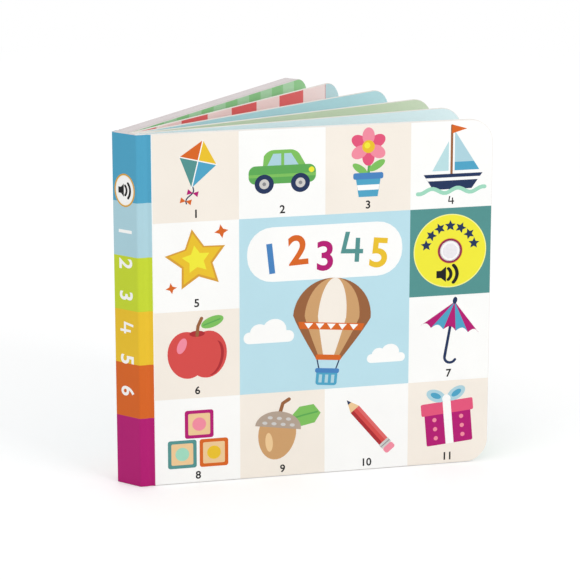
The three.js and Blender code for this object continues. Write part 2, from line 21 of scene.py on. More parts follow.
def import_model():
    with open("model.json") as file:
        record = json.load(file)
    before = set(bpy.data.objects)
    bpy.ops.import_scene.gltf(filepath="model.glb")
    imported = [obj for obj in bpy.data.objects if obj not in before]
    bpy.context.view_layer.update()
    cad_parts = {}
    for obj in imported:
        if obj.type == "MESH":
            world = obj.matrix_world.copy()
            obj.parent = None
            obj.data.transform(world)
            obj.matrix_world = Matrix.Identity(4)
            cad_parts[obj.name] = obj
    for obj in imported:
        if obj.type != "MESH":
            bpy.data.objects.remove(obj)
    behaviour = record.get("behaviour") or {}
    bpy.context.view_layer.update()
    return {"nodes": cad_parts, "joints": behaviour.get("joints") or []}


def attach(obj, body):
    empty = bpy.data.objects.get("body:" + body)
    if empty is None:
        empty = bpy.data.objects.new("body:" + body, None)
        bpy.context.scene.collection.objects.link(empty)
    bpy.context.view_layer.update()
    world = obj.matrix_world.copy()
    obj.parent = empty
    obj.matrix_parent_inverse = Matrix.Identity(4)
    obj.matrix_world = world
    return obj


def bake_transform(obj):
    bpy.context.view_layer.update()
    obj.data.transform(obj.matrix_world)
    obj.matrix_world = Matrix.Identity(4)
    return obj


LOG = logging.getLogger("board_book")
MM = 0.001
Point = tuple[float, float]
Outline = list[Point]


# Colours and finishes


class Ink(Enum):
    """Printed colours, as red, green and blue from 0 to 255."""

    CREAM = (243, 235, 224)
    WHITE = (250, 250, 248)
    SKY = (186, 222, 233)
    PALE_BLUE = (221, 238, 240)
    TEAL = (82, 145, 142)
    LEMON = (239, 232, 56)
    LEMON_RIM = (250, 246, 150)
    MAGENTA = (178, 16, 112)
    PLUM = (144, 16, 76)
    NAVY = (28, 48, 88)
    BLACK = (22, 22, 24)
    SPINE_BLUE = (76, 162, 196)
    SPINE_PALE = (172, 209, 220)
    LIME = (196, 214, 48)
    YELLOW = (233, 192, 42)
    ORANGE = (214, 100, 30)
    AMBER = (214, 158, 50)
    WARM_RIM = (247, 232, 205)
    RED = (213, 75, 72)
    DARK_RED = (172, 42, 48)
    CHECK_RED = (222, 103, 103)
    CHECK_LINE = (240, 228, 222)
    BLUSH = (242, 228, 224)
    PINK = (240, 140, 160)
    ROSE = (226, 84, 122)
    GREEN = (92, 168, 84)
    LEAF_GREEN = (124, 190, 92)
    CHECK_GREEN = (152, 206, 148)
    CHECK_PALE = (184, 220, 184)
    SAGE = (205, 220, 194)
    MINT = (158, 216, 190)
    AQUA = (185, 221, 225)
    BLUE = (70, 130, 190)
    BROWN = (150, 96, 58)
    TAN = (204, 158, 108)
    TAUPE = (178, 160, 144)
    GREY = (138, 138, 142)
    STONE = (205, 203, 200)
    WOOD = (236, 200, 150)


def linear(colour: Sequence[float]) -> tuple[float, float, float, float]:
    """Turn a printed colour into scene-linear values.

    Args:
        colour: Red, green and blue from 0 to 255.

    Returns:
        Linear red, green, blue and an alpha of one.
    """
    parts = []
    for value in colour:
        share = value / 255.0
        parts.append(share / 12.92 if share <= 0.04045 else ((share + 0.055) / 1.055) ** 2.4)
    return parts[0], parts[1], parts[2], 1.0


def feed(tree: bpy.types.NodeTree, taker: bpy.types.Node, inputs: dict) -> None:
    """Feed a node.

    Args:
        tree: Tree of the node.
        taker: The node.
        inputs: A socket or a plain value for each input, by name or number.
    """
    for label, value in inputs.items():
        if isinstance(value, bpy.types.NodeSocket):
            tree.links.new(value, taker.inputs[label])
        else:
            taker.inputs[label].default_value = value


def node(tree: bpy.types.NodeTree, kind: str, inputs: dict | None = None,
         operation: str | None = None) -> bpy.types.Node:
    """Add a node and feed it.

    Args:
        tree: The tree.
        kind: Kind of node.
        inputs: A socket or a plain value for each input, by name or number.
        operation: What a maths node does.

    Returns:
        The node.
    """
    made = tree.nodes.new(kind)
    if operation is not None:
        made.operation = operation
    feed(tree, made, inputs or {})
    return made


def maths(tree: bpy.types.NodeTree, operation: str, *values: object) -> bpy.types.NodeSocket:
    """The result of a maths node fed by sockets or plain numbers."""
    return node(tree, "ShaderNodeMath", dict(enumerate(values)), operation).outputs[0]


class Surface(Enum):
    """How a finish's small relief is made."""

    LAMINATE = "laminate"
    BOARD_EDGE = "board edge"
    MOULDED = "moulded"
    METAL = "metal"


@dataclass(frozen=True)
class Finish:
    """One procedural finish.

    Args:
        name: Name of the material.
        colour: Red, green and blue from 0 to 255.
        surface: Kind of small relief.
        roughness: Middle roughness.
        metallic: Zero for print and plastic, one for metal.
        mottle: How far the colour drifts, from 0 to 1.
        relief: Height of the small relief in millimetres.
        grain: Size of the small relief in millimetres.
        coat: Strength of a clear lacquer.
        shine: Strength of the mirror reflection.
        drift: Length of the colour's waves in millimetres.
        bump_strength: Strength of the small relief.
        coat_roughness: Roughness of the lacquer.
        wear: How far the roughness falls and rises about its middle.
    """

    name: str
    colour: tuple[int, int, int]
    surface: Surface = Surface.LAMINATE
    roughness: float = 0.42
    metallic: float = 0.0
    mottle: float = 0.03
    relief: float = 0.01
    grain: float = 0.7
    coat: float = 0.0
    shine: float = 0.5
    drift: float = 28.0
    bump_strength: float = 0.6
    coat_roughness: float = 0.25
    wear: tuple[float, float] = (0.06, 0.08)

    def build(self) -> bpy.types.Material:
        """Make the material, or return it if it exists."""
        known = bpy.data.materials.get(self.name)
        if known is not None:
            return known
        material = bpy.data.materials.new(self.name)
        material.use_nodes = True
        tree = material.node_tree
        place = node(tree, "ShaderNodeTexCoord").outputs["Object"]
        stretched = node(tree, "ShaderNodeMapping", {"Vector": place, "Scale": self._stretch()})
        fine = self._noise(tree, stretched.outputs["Vector"], self.grain, 3.0)
        bump = node(tree, "ShaderNodeBump", {
            "Strength": self.bump_strength, "Distance": self.relief * MM, "Height": fine})
        rough = node(tree, "ShaderNodeMapRange", {
            "Value": fine, "To Min": max(0.05, self.roughness - self.wear[0]),
            "To Max": min(1.0, self.roughness + self.wear[1])})
        feed(tree, tree.nodes["Principled BSDF"], {
            "Base Color": self._colour(tree, place), "Roughness": rough.outputs["Result"],
            "Normal": bump.outputs["Normal"], "Metallic": self.metallic,
            "Specular IOR Level": self.shine, "Coat Weight": self.coat,
            "Coat Roughness": self.coat_roughness})
        return material

    def _stretch(self) -> tuple[float, float, float]:
        """Stretch of the relief along X, Y and Z."""
        if self.surface is Surface.BOARD_EDGE:
            return 1.0, 1.0, 0.18
        if self.surface is Surface.METAL:
            return 0.12, 1.0, 1.0
        return 1.0, 1.0, 1.0

    @staticmethod
    def _noise(tree: bpy.types.NodeTree, place: bpy.types.NodeSocket, size: float,
               octaves: float) -> bpy.types.NodeSocket:
        """Add a noise texture.

        Args:
            tree: Tree of the material.
            place: Coordinates that it reads.
            size: Length of a wave in millimetres.
            octaves: How many finer waves it adds.

        Returns:
            The height of the waves.
        """
        waves = node(tree, "ShaderNodeTexNoise", {
            "Vector": place, "Scale": 1.0 / (size * MM), "Detail": octaves})
        return waves.outputs["Fac"]

    def _colour(self, tree: bpy.types.NodeTree, place: bpy.types.NodeSocket) -> bpy.types.NodeSocket:
        """Drift the base colour a little between a darker and a lighter tone.

        Args:
            tree: Tree of the material.
            place: Coordinates.

        Returns:
            The drifting colour.
        """
        broad = self._noise(tree, place, self.drift, 2.0)
        ramp = node(tree, "ShaderNodeValToRGB", {"Fac": broad})
        tones = ((0.3, 1.0 - self.mottle), (0.7, 1.0 + self.mottle))
        for element, (position, tone) in zip(ramp.color_ramp.elements, tones):
            element.position = position
            element.color = [min(1.0, part * tone) for part in linear(self.colour)[:3]] + [1.0]
        return ramp.outputs["Color"]


def print_finish(ink: Ink) -> Finish:
    """Laminated print in one colour."""
    return Finish(f"print_{ink.name.lower()}", ink.value, Surface.LAMINATE, 0.4, mottle=0.015,
                  relief=0.006, grain=0.9, shine=0.22)


BOARD_EDGE = Finish("board_edge", (234, 230, 225), Surface.BOARD_EDGE, 0.8, mottle=0.04,
                    relief=0.05, grain=0.35)
LEAF_EDGE = Finish("leaf_edge", (224, 221, 215), Surface.BOARD_EDGE, 0.8, mottle=0.04,
                   relief=0.05, grain=0.35, shine=0.2)
# Painted shade: the back block's top edges are white board, and this lavender grey, darker than
# BOARD_EDGE, stands in for the shade on them. The same grey goes on the spine panel's inner faces, the
# spacer frame, the back cover's and last page's edges and the gutter lining.
CORE_EDGE_PAINTED_SHADE = Finish("core_edge", (214, 206, 206), Surface.BOARD_EDGE, 0.85, mottle=0.05,
                   relief=0.06, grain=0.5)
SHELL_PLASTIC = Finish("shell_plastic", (238, 238, 234), Surface.MOULDED, 0.45, mottle=0.02,
                       relief=0.02, grain=0.5)
DOOR_PLASTIC = Finish("door_plastic", (232, 232, 229), Surface.MOULDED, 0.5, mottle=0.02,
                      relief=0.02, grain=0.5)
KNOB_PLASTIC = Finish("knob_plastic", (30, 31, 33), Surface.MOULDED, 0.45, mottle=0.05,
                      relief=0.015, grain=0.4)
BUTTON_PLASTIC = Finish("button_plastic", (250, 238, 250), Surface.MOULDED, 0.35, mottle=0.01,
                        relief=0.008, grain=0.5, coat=0.2)
STUD_PLASTIC = Finish("button_studs", (226, 222, 228), Surface.MOULDED, 0.4, mottle=0.01,
                      relief=0.006, grain=0.4)
CIRCUIT_GREEN = Finish("circuit_green", (40, 104, 66), Surface.MOULDED, 0.45, mottle=0.12,
                       relief=0.02, grain=1.2, coat=0.3)
CHIP_RESIN = Finish("chip_resin", (18, 18, 19), Surface.MOULDED, 0.28, mottle=0.1, relief=0.03,
                    grain=1.5, coat=0.3)
CONE_FILM = Finish("cone_film", (198, 188, 158), Surface.MOULDED, 0.35, mottle=0.06, relief=0.02,
                   grain=2.0)
PLATED_STEEL = Finish("plated_steel", (196, 198, 202), Surface.METAL, 0.3, 1.0, mottle=0.05,
                      relief=0.004, grain=0.4)
MAGNET_STEEL = Finish("magnet_steel", (128, 130, 134), Surface.METAL, 0.35, 1.0, mottle=0.06,
                      relief=0.006, grain=0.5)
RED_SLEEVE = Finish("red_sleeve", (176, 34, 34), Surface.MOULDED, 0.45, relief=0.01)
BLACK_SLEEVE = Finish("black_sleeve", (24, 24, 25), Surface.MOULDED, 0.45, relief=0.01)


# Outlines, in the millimetres of a page seen from outside


def arc(x: float, y: float, radius: float, start: float, end: float, steps: int = 12) -> Outline:
    """Points along an arc.

    Args:
        x: Centre across the page.
        y: Centre up the page.
        radius: Radius.
        start: First angle in degrees, counter-clockwise from the right.
        end: Last angle in degrees.
        steps: Number of chords.

    Returns:
        The points, ends included.
    """
    return [(x + radius * math.cos(math.radians(start + (end - start) * k / steps)),
             y + radius * math.sin(math.radians(start + (end - start) * k / steps)))
            for k in range(steps + 1)]


def rotated(point: Point, turn: float) -> Point:
    """A point turned about the origin by some degrees, counter-clockwise."""
    cosine, sine = math.cos(math.radians(turn)), math.sin(math.radians(turn))
    return point[0] * cosine - point[1] * sine, point[0] * sine + point[1] * cosine


def ellipse(x: float, y: float, across: float, up: float, turn: float = 0.0,
            steps: int = 40) -> Outline:
    """An ellipse of two half-widths, turned by some degrees."""
    turns = [2 * math.pi * k / steps for k in range(steps)]
    flat = [rotated((across * math.cos(a), up * math.sin(a)), turn) for a in turns]
    return [(x + p, y + q) for p, q in flat]


def box(left: float, low: float, right: float, high: float, radius: float = 0.0) -> Outline:
    """A rectangle with corners of one radius."""
    if radius <= 0:
        return [(left, low), (right, low), (right, high), (left, high)]
    return (arc(right - radius, low + radius, radius, -90, 0, 6)
            + arc(right - radius, high - radius, radius, 0, 90, 6)
            + arc(left + radius, high - radius, radius, 90, 180, 6)
            + arc(left + radius, low + radius, radius, 180, 270, 6))


def stroke(points: Sequence[Point], width: float) -> Outline:
    """A line of one width with round ends.

    Args:
        points: The middle line.
        width: Width of the line.

    Returns:
        The closed outline.
    """
    half = width / 2
    left: Outline = []
    right: Outline = []
    for index, (x, y) in enumerate(points):
        ahead = points[min(index + 1, len(points) - 1)]
        behind = points[max(index - 1, 0)]
        run = math.hypot(ahead[0] - behind[0], ahead[1] - behind[1]) or 1.0
        across = (-(ahead[1] - behind[1]) / run, (ahead[0] - behind[0]) / run)
        left.append((x + half * across[0], y + half * across[1]))
        right.append((x - half * across[0], y - half * across[1]))
    end_turn = math.degrees(math.atan2(right[-1][1] - points[-1][1], right[-1][0] - points[-1][0]))
    start_turn = math.degrees(math.atan2(left[0][1] - points[0][1], left[0][0] - points[0][0]))
    end_cap = arc(*points[-1], half, end_turn, end_turn + 180, 6)[1:-1]
    start_cap = arc(*points[0], half, start_turn, start_turn + 180, 6)[1:-1]
    return right + end_cap + left[::-1] + start_cap


def cell_round(left: float, low: float, right: float, high: float, x: float, y: float,
               steps: int) -> Outline:
    """Points of a cell's edge, one in each direction from a point inside.

    Args:
        left: Left edge.
        low: Lower edge.
        right: Right edge.
        high: Upper edge.
        x: The inner point across.
        y: The inner point up.
        steps: Number of directions, corners not counted.

    Returns:
        The outline, counter-clockwise, its corners moved onto the nearest direction.
    """
    corners = [(right, high), (left, high), (left, low), (right, low)]
    outline = []
    for k in range(steps):
        turn = 2 * math.pi * k / steps
        across, up = math.cos(turn), math.sin(turn)
        reach = min(((right if across > 0 else left) - x) / across if abs(across) > 1e-9 else 1e9,
                    ((high if up > 0 else low) - y) / up if abs(up) > 1e-9 else 1e9)
        outline.append((x + across * reach, y + up * reach))
    for corner in corners:
        nearest = min(range(steps), key=lambda k: math.dist(outline[k], corner))
        outline[nearest] = corner
    return outline


def star(x: float, y: float, outer: float, inner: float, tips: int = 5) -> Outline:
    """A star with its first tip up."""
    return [(x + (outer if k % 2 == 0 else inner) * math.cos(math.pi / 2 + math.pi * k / tips),
             y + (outer if k % 2 == 0 else inner) * math.sin(math.pi / 2 + math.pi * k / tips))
            for k in range(2 * tips)]


def sheet_outline(start: float, end: float, height: float, radius: float) -> Outline:
    """A sheet: square at the hinge side, rounded at its two fore-edge corners.

    Args:
        start: Hinge side.
        end: Fore-edge.
        height: Head above the tail.
        radius: Radius of the two corners.

    Returns:
        The outline, counter-clockwise.
    """
    return ([(start, 0.0)] + arc(end - radius, radius, radius, -90, 0, 16)
            + arc(end - radius, height - radius, radius, 0, 90, 16) + [(start, height)])


def clipped(subject: Outline, window: Outline) -> Outline:
    """The part of an outline inside a convex, counter-clockwise window."""
    result = list(subject)
    for index, first in enumerate(window):
        second = window[(index + 1) % len(window)]
        edge = (second[0] - first[0], second[1] - first[1])

        def side(point: Point) -> float:
            """How far a point lies inside this edge."""
            return edge[0] * (point[1] - first[1]) - edge[1] * (point[0] - first[0])

        source, result = result, []
        for number, here in enumerate(source):
            before = source[number - 1]
            now, then = side(here), side(before)
            if (now >= 0) != (then >= 0):
                share = then / (then - now)
                result.append((before[0] + share * (here[0] - before[0]),
                               before[1] + share * (here[1] - before[1])))
            if now >= 0:
                result.append(here)
        if not result:
            return []
    return result


@dataclass
class Drawing:
    """Flat printed shapes in layers.

    Args:
        marks: Each an outline, its ink and its layer.
        rings: Each an outline, a hole with as many points, its ink and its layer.
        figures: Each a text of digits, its place, height, turn, ink and layer.
    """

    marks: list[tuple[Outline, Ink, int]] = field(default_factory=list)
    rings: list[tuple[Outline, Outline, Ink, int]] = field(default_factory=list)
    figures: list[tuple[str, Point, float, float, Ink, int]] = field(default_factory=list)

    def add(self, outline: Outline, ink: Ink, layer: int | None = None) -> "Drawing":
        """Put a shape on top, or on a stated layer."""
        self.marks.append((outline, ink, self.depth() if layer is None else layer))
        return self

    def figure(self, digits: str, x: float, y: float, height: float, ink: Ink, turn: float = 0.0,
               layer: int | None = None) -> "Drawing":
        """Put digits on top, centred on a point."""
        level = self.depth() if layer is None else layer
        self.figures.append((digits, (x, y), height, turn, ink, level))
        return self

    def depth(self) -> int:
        """The next free layer."""
        levels = [mark[2] for mark in self.marks] + [ring[3] for ring in self.rings]
        levels += [figure[5] for figure in self.figures]
        return max(levels, default=-1) + 1

    def place(self, other: "Drawing", x: float, y: float, scale: float = 1.0, turn: float = 0.0,
              layer: int = 2) -> "Drawing":
        """Put another drawing here.

        Args:
            other: Drawing about its own middle.
            x: Middle across this page.
            y: Middle up this page.
            scale: Enlargement.
            turn: Turn in degrees, counter-clockwise.
            layer: Layer of the other drawing's lowest shape.

        Returns:
            This drawing.
        """
        def moved(point: Point) -> Point:
            """A point of the other drawing, on this page."""
            across, up = rotated(point, turn)
            return x + scale * across, y + scale * up

        for outline, ink, level in other.marks:
            self.marks.append(([moved(point) for point in outline], ink, layer + level))
        for digits, point, height, spin, ink, level in other.figures:
            self.figures.append((digits, moved(point), height * scale, spin + turn, ink,
                                 layer + level))
        return self


# Small pictures, each about its own middle and about 30 mm across


def potted_flower() -> Drawing:
    """A pink flower in a blue pot."""
    drawing = Drawing()
    drawing.add(stroke([(0, -6), (0.6, 0), (0, 6)], 1.4), Ink.GREEN)
    drawing.add(ellipse(4.4, -1.5, 4.6, 1.9, 32), Ink.LEAF_GREEN)
    drawing.add(ellipse(-4.2, -3, 4.4, 1.8, 145), Ink.LEAF_GREEN)
    for index in range(6):
        turn = 60 * index + 30
        drawing.add(ellipse(5.2 * math.cos(math.radians(turn)), 8 + 5.2 * math.sin(math.radians(turn)),
                            4.3, 3.1, turn), Ink.PINK if index % 2 else Ink.ROSE, 3 + index % 2)
    drawing.add(ellipse(0, 8, 3.2, 3.2), Ink.YELLOW, 5)
    drawing.add(ellipse(-0.6, 8.6, 1.5, 1.5), Ink.LEMON, 6)
    drawing.add([(-6.4, -7), (6.4, -7), (4.8, -17), (-4.8, -17)], Ink.SPINE_BLUE, 4)
    drawing.add([(-5.7, -11), (5.7, -11), (5.25, -13.6), (-5.25, -13.6)], Ink.WHITE, 5)
    drawing.add(box(-7.6, -8.2, 7.6, -5, 1), Ink.BLUE, 5)
    return drawing


def sailing_boat() -> Drawing:
    """A small boat with two sails on green waves."""
    drawing = Drawing()
    drawing.add(stroke([(0, -7), (0, 15)], 1.1), Ink.BROWN)
    drawing.add([(1.4, -5.5), (13, -5.5), (1.4, 12.5)], Ink.SPINE_PALE)
    drawing.add([(1.4, -5.5), (13, -5.5), (10.4, -1.6), (1.4, -1.6)], Ink.SPINE_BLUE)
    drawing.add([(-1.4, -5.5), (-9, -5.5), (-1.4, 8)], Ink.AQUA)
    drawing.add([(0, 15.5), (7, 13.4), (0, 11.4)], Ink.ORANGE)
    drawing.add([(-13, -7), (14.5, -7), (9.5, -14), (-8.5, -14)], Ink.NAVY)
    drawing.add([(-12, -8.6), (13.4, -8.6), (12.4, -10), (-11, -10)], Ink.WHITE)
    wave = [(x, -14.6 + 1.1 * math.sin(x / 1.9)) for x in [k * 1.2 - 15.6 for k in range(27)]]
    drawing.add(stroke(wave, 1.8), Ink.MINT)
    return drawing


def oak_nut() -> Drawing:
    """An acorn with its leaf."""
    drawing = Drawing()
    leaf = [(2, 4), (6, 10), (12, 11.6), (15.6, 8), (13.6, 3.6), (8, 1.6)]
    drawing.add(leaf, Ink.LEAF_GREEN)
    drawing.add(stroke([(2.6, 4.2), (8, 6.4), (14, 8.4)], 0.7), Ink.GREEN)
    drawing.add(stroke([(-2, 7), (-1.4, 11), (1, 13)], 1.6), Ink.BROWN)
    body = arc(-2, -2, 8.2, 180, 360, 18) + [(5.6, 1.5), (-9.6, 1.5)]
    drawing.add([(x, -2 + (y + 2) * 1.45) for x, y in body], Ink.TAN)
    drawing.add(ellipse(-5, -6.5, 1.6, 4.2, 12), Ink.WOOD)
    cap = arc(-2, 0.2, 10, 0, 180, 18)
    drawing.add([(x, 0.2 + (y - 0.2) * 0.72) for x, y in cap], Ink.TAUPE)
    for row in range(2):
        for column in range(4 - row):
            drawing.add(ellipse(-8 + 2 * row + 4 * column, 1.8 + 2.5 * row, 1.1, 0.7), Ink.STONE, 8)
    return drawing


def kite() -> Drawing:
    """A kite in four colours with a tail of bows."""
    drawing = Drawing()
    tail = [(0.8 * math.sin(k / 1.4) * 1.6, -7 - k * 1.1) for k in range(9)]
    drawing.add(stroke(tail, 0.6), Ink.NAVY)
    top, low, left, right, middle = (0, 15), (0, -8), (-9, 5), (9, 5), (0, 5)
    drawing.add([left, middle, top], Ink.ORANGE)
    drawing.add([middle, right, top], Ink.YELLOW)
    drawing.add([left, low, middle], Ink.TEAL)
    drawing.add([low, right, middle], Ink.SPINE_BLUE)
    drawing.add(stroke([top, low], 0.5), Ink.WHITE)
    drawing.add(stroke([left, right], 0.5), Ink.WHITE)
    for index, ink in enumerate((Ink.MAGENTA, Ink.ORANGE)):
        x, y = tail[3 + 4 * index]
        drawing.add([(x, y), (x - 2.6, y + 1.4), (x - 2.6, y - 1.4)], ink, 8)
        drawing.add([(x, y), (x + 2.6, y - 1.4), (x + 2.6, y + 1.4)], ink, 8)
    return drawing


def car() -> Drawing:
    """A little green car."""
    drawing = Drawing()
    roof = [(-8.4, 0)] + arc(-3.6, 2.4, 5, 150, 90, 5) + arc(3.4, 2.4, 5, 90, 25, 5) + [(10.4, 0)]
    drawing.add(roof, Ink.LEAF_GREEN)
    drawing.add([(-6.6, 0.4), (-3.9, 5.8), (-0.5, 5.8), (-0.5, 0.4)], Ink.SPINE_PALE)
    drawing.add([(0.8, 0.4), (0.8, 5.8), (3.8, 5.8), (7.2, 0.4)], Ink.SPINE_PALE)
    drawing.add(box(-14.5, -7, 14.5, 0.8, 3), Ink.GREEN)
    drawing.add(box(-14.5, -4.2, 14.5, -2.9), Ink.LEAF_GREEN)
    drawing.add(ellipse(12.6, -1.6, 1.2, 1.2), Ink.LEMON)
    for x in (-7.8, 7.8):
        drawing.add(ellipse(x, -7, 4.1, 4.1), Ink.NAVY, 6)
        drawing.add(ellipse(x, -7, 2.1, 2.1), Ink.STONE, 7)
        drawing.add(ellipse(x, -7, 0.8, 0.8), Ink.GREY, 8)
    return drawing


def apple() -> Drawing:
    """A red apple with a leaf."""
    drawing = Drawing()
    drawing.add(ellipse(-4, -2.4, 7.6, 9.4, 8), Ink.RED)
    drawing.add(ellipse(4, -2.4, 7.6, 9.4, -8), Ink.RED)
    drawing.add(ellipse(6.4, -4, 3.8, 7, -14), Ink.DARK_RED)
    drawing.add(ellipse(4.6, -3.4, 4.6, 7.6, -10), Ink.RED)
    drawing.add(ellipse(-6, 1.4, 1.7, 3.2, -22), Ink.PINK)
    drawing.add(ellipse(0, 6, 3, 1.2), Ink.DARK_RED)
    drawing.add(stroke([(0, 5.4), (0.4, 9), (1.8, 12)], 1.3), Ink.BROWN)
    drawing.add(ellipse(6, 10.4, 4.6, 2.1, 20), Ink.LEAF_GREEN)
    drawing.add(stroke([(2.6, 9.2), (9, 11.4)], 0.5), Ink.GREEN)
    return drawing


def bright_star() -> Drawing:
    """A yellow star with small ones beside it."""
    drawing = Drawing()
    drawing.add(star(0, 0, 14.5, 7.4), Ink.AMBER)
    drawing.add(star(0, 0.2, 12.4, 6.4), Ink.YELLOW)
    drawing.add(star(0, 0.4, 6.6, 3.4), Ink.LEMON)
    drawing.add(star(13, 11, 3.2, 1.4, 4), Ink.ORANGE)
    drawing.add(star(-13, -10.4, 2.6, 1.1, 4), Ink.ORANGE)
    return drawing


def toy_blocks() -> Drawing:
    """Three plain blocks in a heap."""
    drawing = Drawing()
    for x, y, ink, spot in ((-7.4, -9, Ink.TEAL, Ink.MINT), (7.4, -9, Ink.ORANGE, Ink.YELLOW),
                            (0.6, 5, Ink.MAGENTA, Ink.PINK)):
        drawing.add(box(x - 6.7, y - 6.7, x + 6.7, y + 6.7, 1.2), ink, 0)
        drawing.add(box(x - 5.1, y - 5.1, x + 5.1, y + 5.1, 0.7), Ink.WOOD, 1)
        drawing.add(ellipse(x, y, 3.2, 3.2), spot, 2)
    return drawing


def umbrella() -> Drawing:
    """An open umbrella in stripes of two colours."""
    drawing = Drawing()
    drawing.add(stroke([(0, 10), (0, -11)] + arc(2.6, -11, 2.6, 180, 340, 8), 1.2), Ink.NAVY)
    edges = [-14, -8.6, -2.9, 2.9, 8.6, 14]
    for index in range(5):
        low, high = edges[index], edges[index + 1]
        top = [(0, 14)]
        side = [(low + (high - low) * k / 6, 1.0 + 1.8 * math.sin(math.pi * k / 6)) for k in range(7)]
        drawing.add(top + side, Ink.SPINE_BLUE if index % 2 else Ink.MAGENTA, 1)
    drawing.add(ellipse(0, 14.6, 1, 1.6), Ink.NAVY, 2)
    return drawing


def gift_box() -> Drawing:
    """A magenta box tied with a white ribbon."""
    drawing = Drawing()
    drawing.add(box(-11, -13, 11, 4, 0.8), Ink.MAGENTA)
    drawing.add(box(-12.4, 1.6, 12.4, 7.4, 0.8), Ink.ROSE)
    drawing.add(box(-1.9, -13, 1.9, 7.4), Ink.WHITE)
    for side in (-1, 1):
        drawing.add(ellipse(side * 4.8, 10.6, 4.8, 2.8, side * 28), Ink.SPINE_PALE, 3)
        drawing.add(ellipse(side * 4.9, 10.7, 2.6, 1.3, side * 28), Ink.SPINE_BLUE, 4)
        for index in range(3):
            drawing.add(ellipse(side * 6.4, -9.6 + 4.4 * index, 1, 1), Ink.PINK, 4)
    drawing.add(ellipse(0, 8.6, 2, 2), Ink.WHITE, 5)
    return drawing


def pencil() -> Drawing:
    """A red pencil, its tip up."""
    drawing = Drawing()
    drawing.add(box(-2.8, -14, 2.8, 9.4), Ink.RED)
    drawing.add(box(-2.8, -14, -0.9, 9.4), Ink.DARK_RED)
    drawing.add(box(1.1, -14, 2.8, 9.4), Ink.CHECK_RED)
    drawing.add([(-2.8, 9.4), (2.8, 9.4), (0, 16)], Ink.WOOD)
    drawing.add([(-1, 13.6), (1, 13.6), (0, 16)], Ink.NAVY)
    drawing.add(box(-3, -16.6, 3, -13.8), Ink.STONE)
    drawing.add(box(-3, -15.5, 3, -15), Ink.GREY)
    drawing.add(box(-3, -20, 3, -16.6, 1.2), Ink.PINK)
    return drawing


def hot_air_balloon() -> Drawing:
    """A striped balloon with its basket, about 60 mm tall."""
    drawing = Drawing()
    drawing.add(stroke([(-7, -14), (-4.4, -23)], 0.7), Ink.NAVY)
    drawing.add(stroke([(7, -14), (4.4, -23)], 0.7), Ink.NAVY)
    widths = [22, 22, 15.5, 15.5, 8, 8]
    inks = [Ink.BROWN, Ink.BROWN, Ink.TAN, Ink.TAN, Ink.CREAM, Ink.CREAM]
    for width, ink in list(zip(widths, inks))[::2]:
        upper = arc(0, 8, 22, 0, 180, 24)
        lower = [(-22 + 15 * k / 8, 8 - 24 * (k / 8) ** 0.9) for k in range(1, 9)]
        mirror = [(-x, y) for x, y in lower[::-1]]
        outline = [(x * width / 22, y) for x, y in upper + lower + mirror]
        drawing.add(outline, ink)
    drawing.add([(-17.6, 0.6), (17.6, 0.6), (18.8, 4.6), (-18.8, 4.6)], Ink.ORANGE)
    for index in range(5):
        x = -12.8 + 6.4 * index
        drawing.add([(x - 2.4, 4), (x + 2.4, 4), (x, 0.9)], Ink.WHITE, 6)
    drawing.add(box(-7.2, -16.6, 7.2, -13.6, 1), Ink.ORANGE, 7)
    drawing.add(box(-6, -31, 6, -22, 1.6), Ink.SPINE_BLUE, 7)
    drawing.add(box(-6.8, -24, 6.8, -21.4, 1), Ink.BLUE, 8)
    for index in range(3):
        drawing.add(box(-4.4 + 3.5 * index, -29.6, -2.6 + 3.5 * index, -25), Ink.SPINE_PALE, 8)
    return drawing


def cloud(width: float, ink: Ink = Ink.WHITE) -> Drawing:
    """A flat-bottomed cloud of some width."""
    drawing = Drawing()
    share = width / 30
    drawing.add(box(-15 * share, -4.4 * share, 15 * share, 2.6 * share, 3.4 * share), ink)
    drawing.add(ellipse(-5.6 * share, 2 * share, 5.6 * share, 5.2 * share), ink)
    drawing.add(ellipse(3.4 * share, 3.4 * share, 7 * share, 6.4 * share), ink)
    return drawing


def sound_sign(width: float, height: float) -> Drawing:
    """A loudspeaker with two waves.

    Args:
        width: Width from the speaker's back to the outer wave.
        height: Height of the outer wave.

    Returns:
        The drawing.
    """
    across, up = width / 10.0, height / 10.0
    body = [(-5, -1.9), (-2.9, -1.9), (-0.6, -4.1), (-0.6, 4.1), (-2.9, 1.9), (-5, 1.9)]
    inner = stroke(arc(-2.6, 0, 4.2, -44, 44, 10), 1.5)
    outer = stroke(arc(-2.6, 0, 7.0, -40, 40, 12), 1.6)
    drawing = Drawing()
    for outline in (body, inner, outer):
        drawing.add([(x * across, y * up) for x, y in outline], Ink.BLACK, 0)
    return drawing


# Where things are


@dataclass(frozen=True)
class Plane:
    """An upright plane, given in the plan of the frame.

    Args:
        x: A point on the plane's middle line, across the frame.
        y: The same point's second place.
        heading: Direction away from the spine, in degrees from +X.
    """

    x: float
    y: float
    heading: float

    @property
    def along(self) -> Vector:
        """Unit direction away from the spine."""
        turn = math.radians(self.heading)
        return Vector((math.cos(turn), math.sin(turn), 0.0))

    @property
    def rear(self) -> Vector:
        """Unit direction across the sheet, towards the back of the book."""
        turn = math.radians(self.heading)
        return Vector((-math.sin(turn), math.cos(turn), 0.0))

    def at(self, along: float, depth: float, up: float) -> Vector:
        """A place in metres, from millimetres along, across and up the sheet."""
        place = Vector((self.x, self.y, up)) + self.along * along + self.rear * depth
        return place * MM


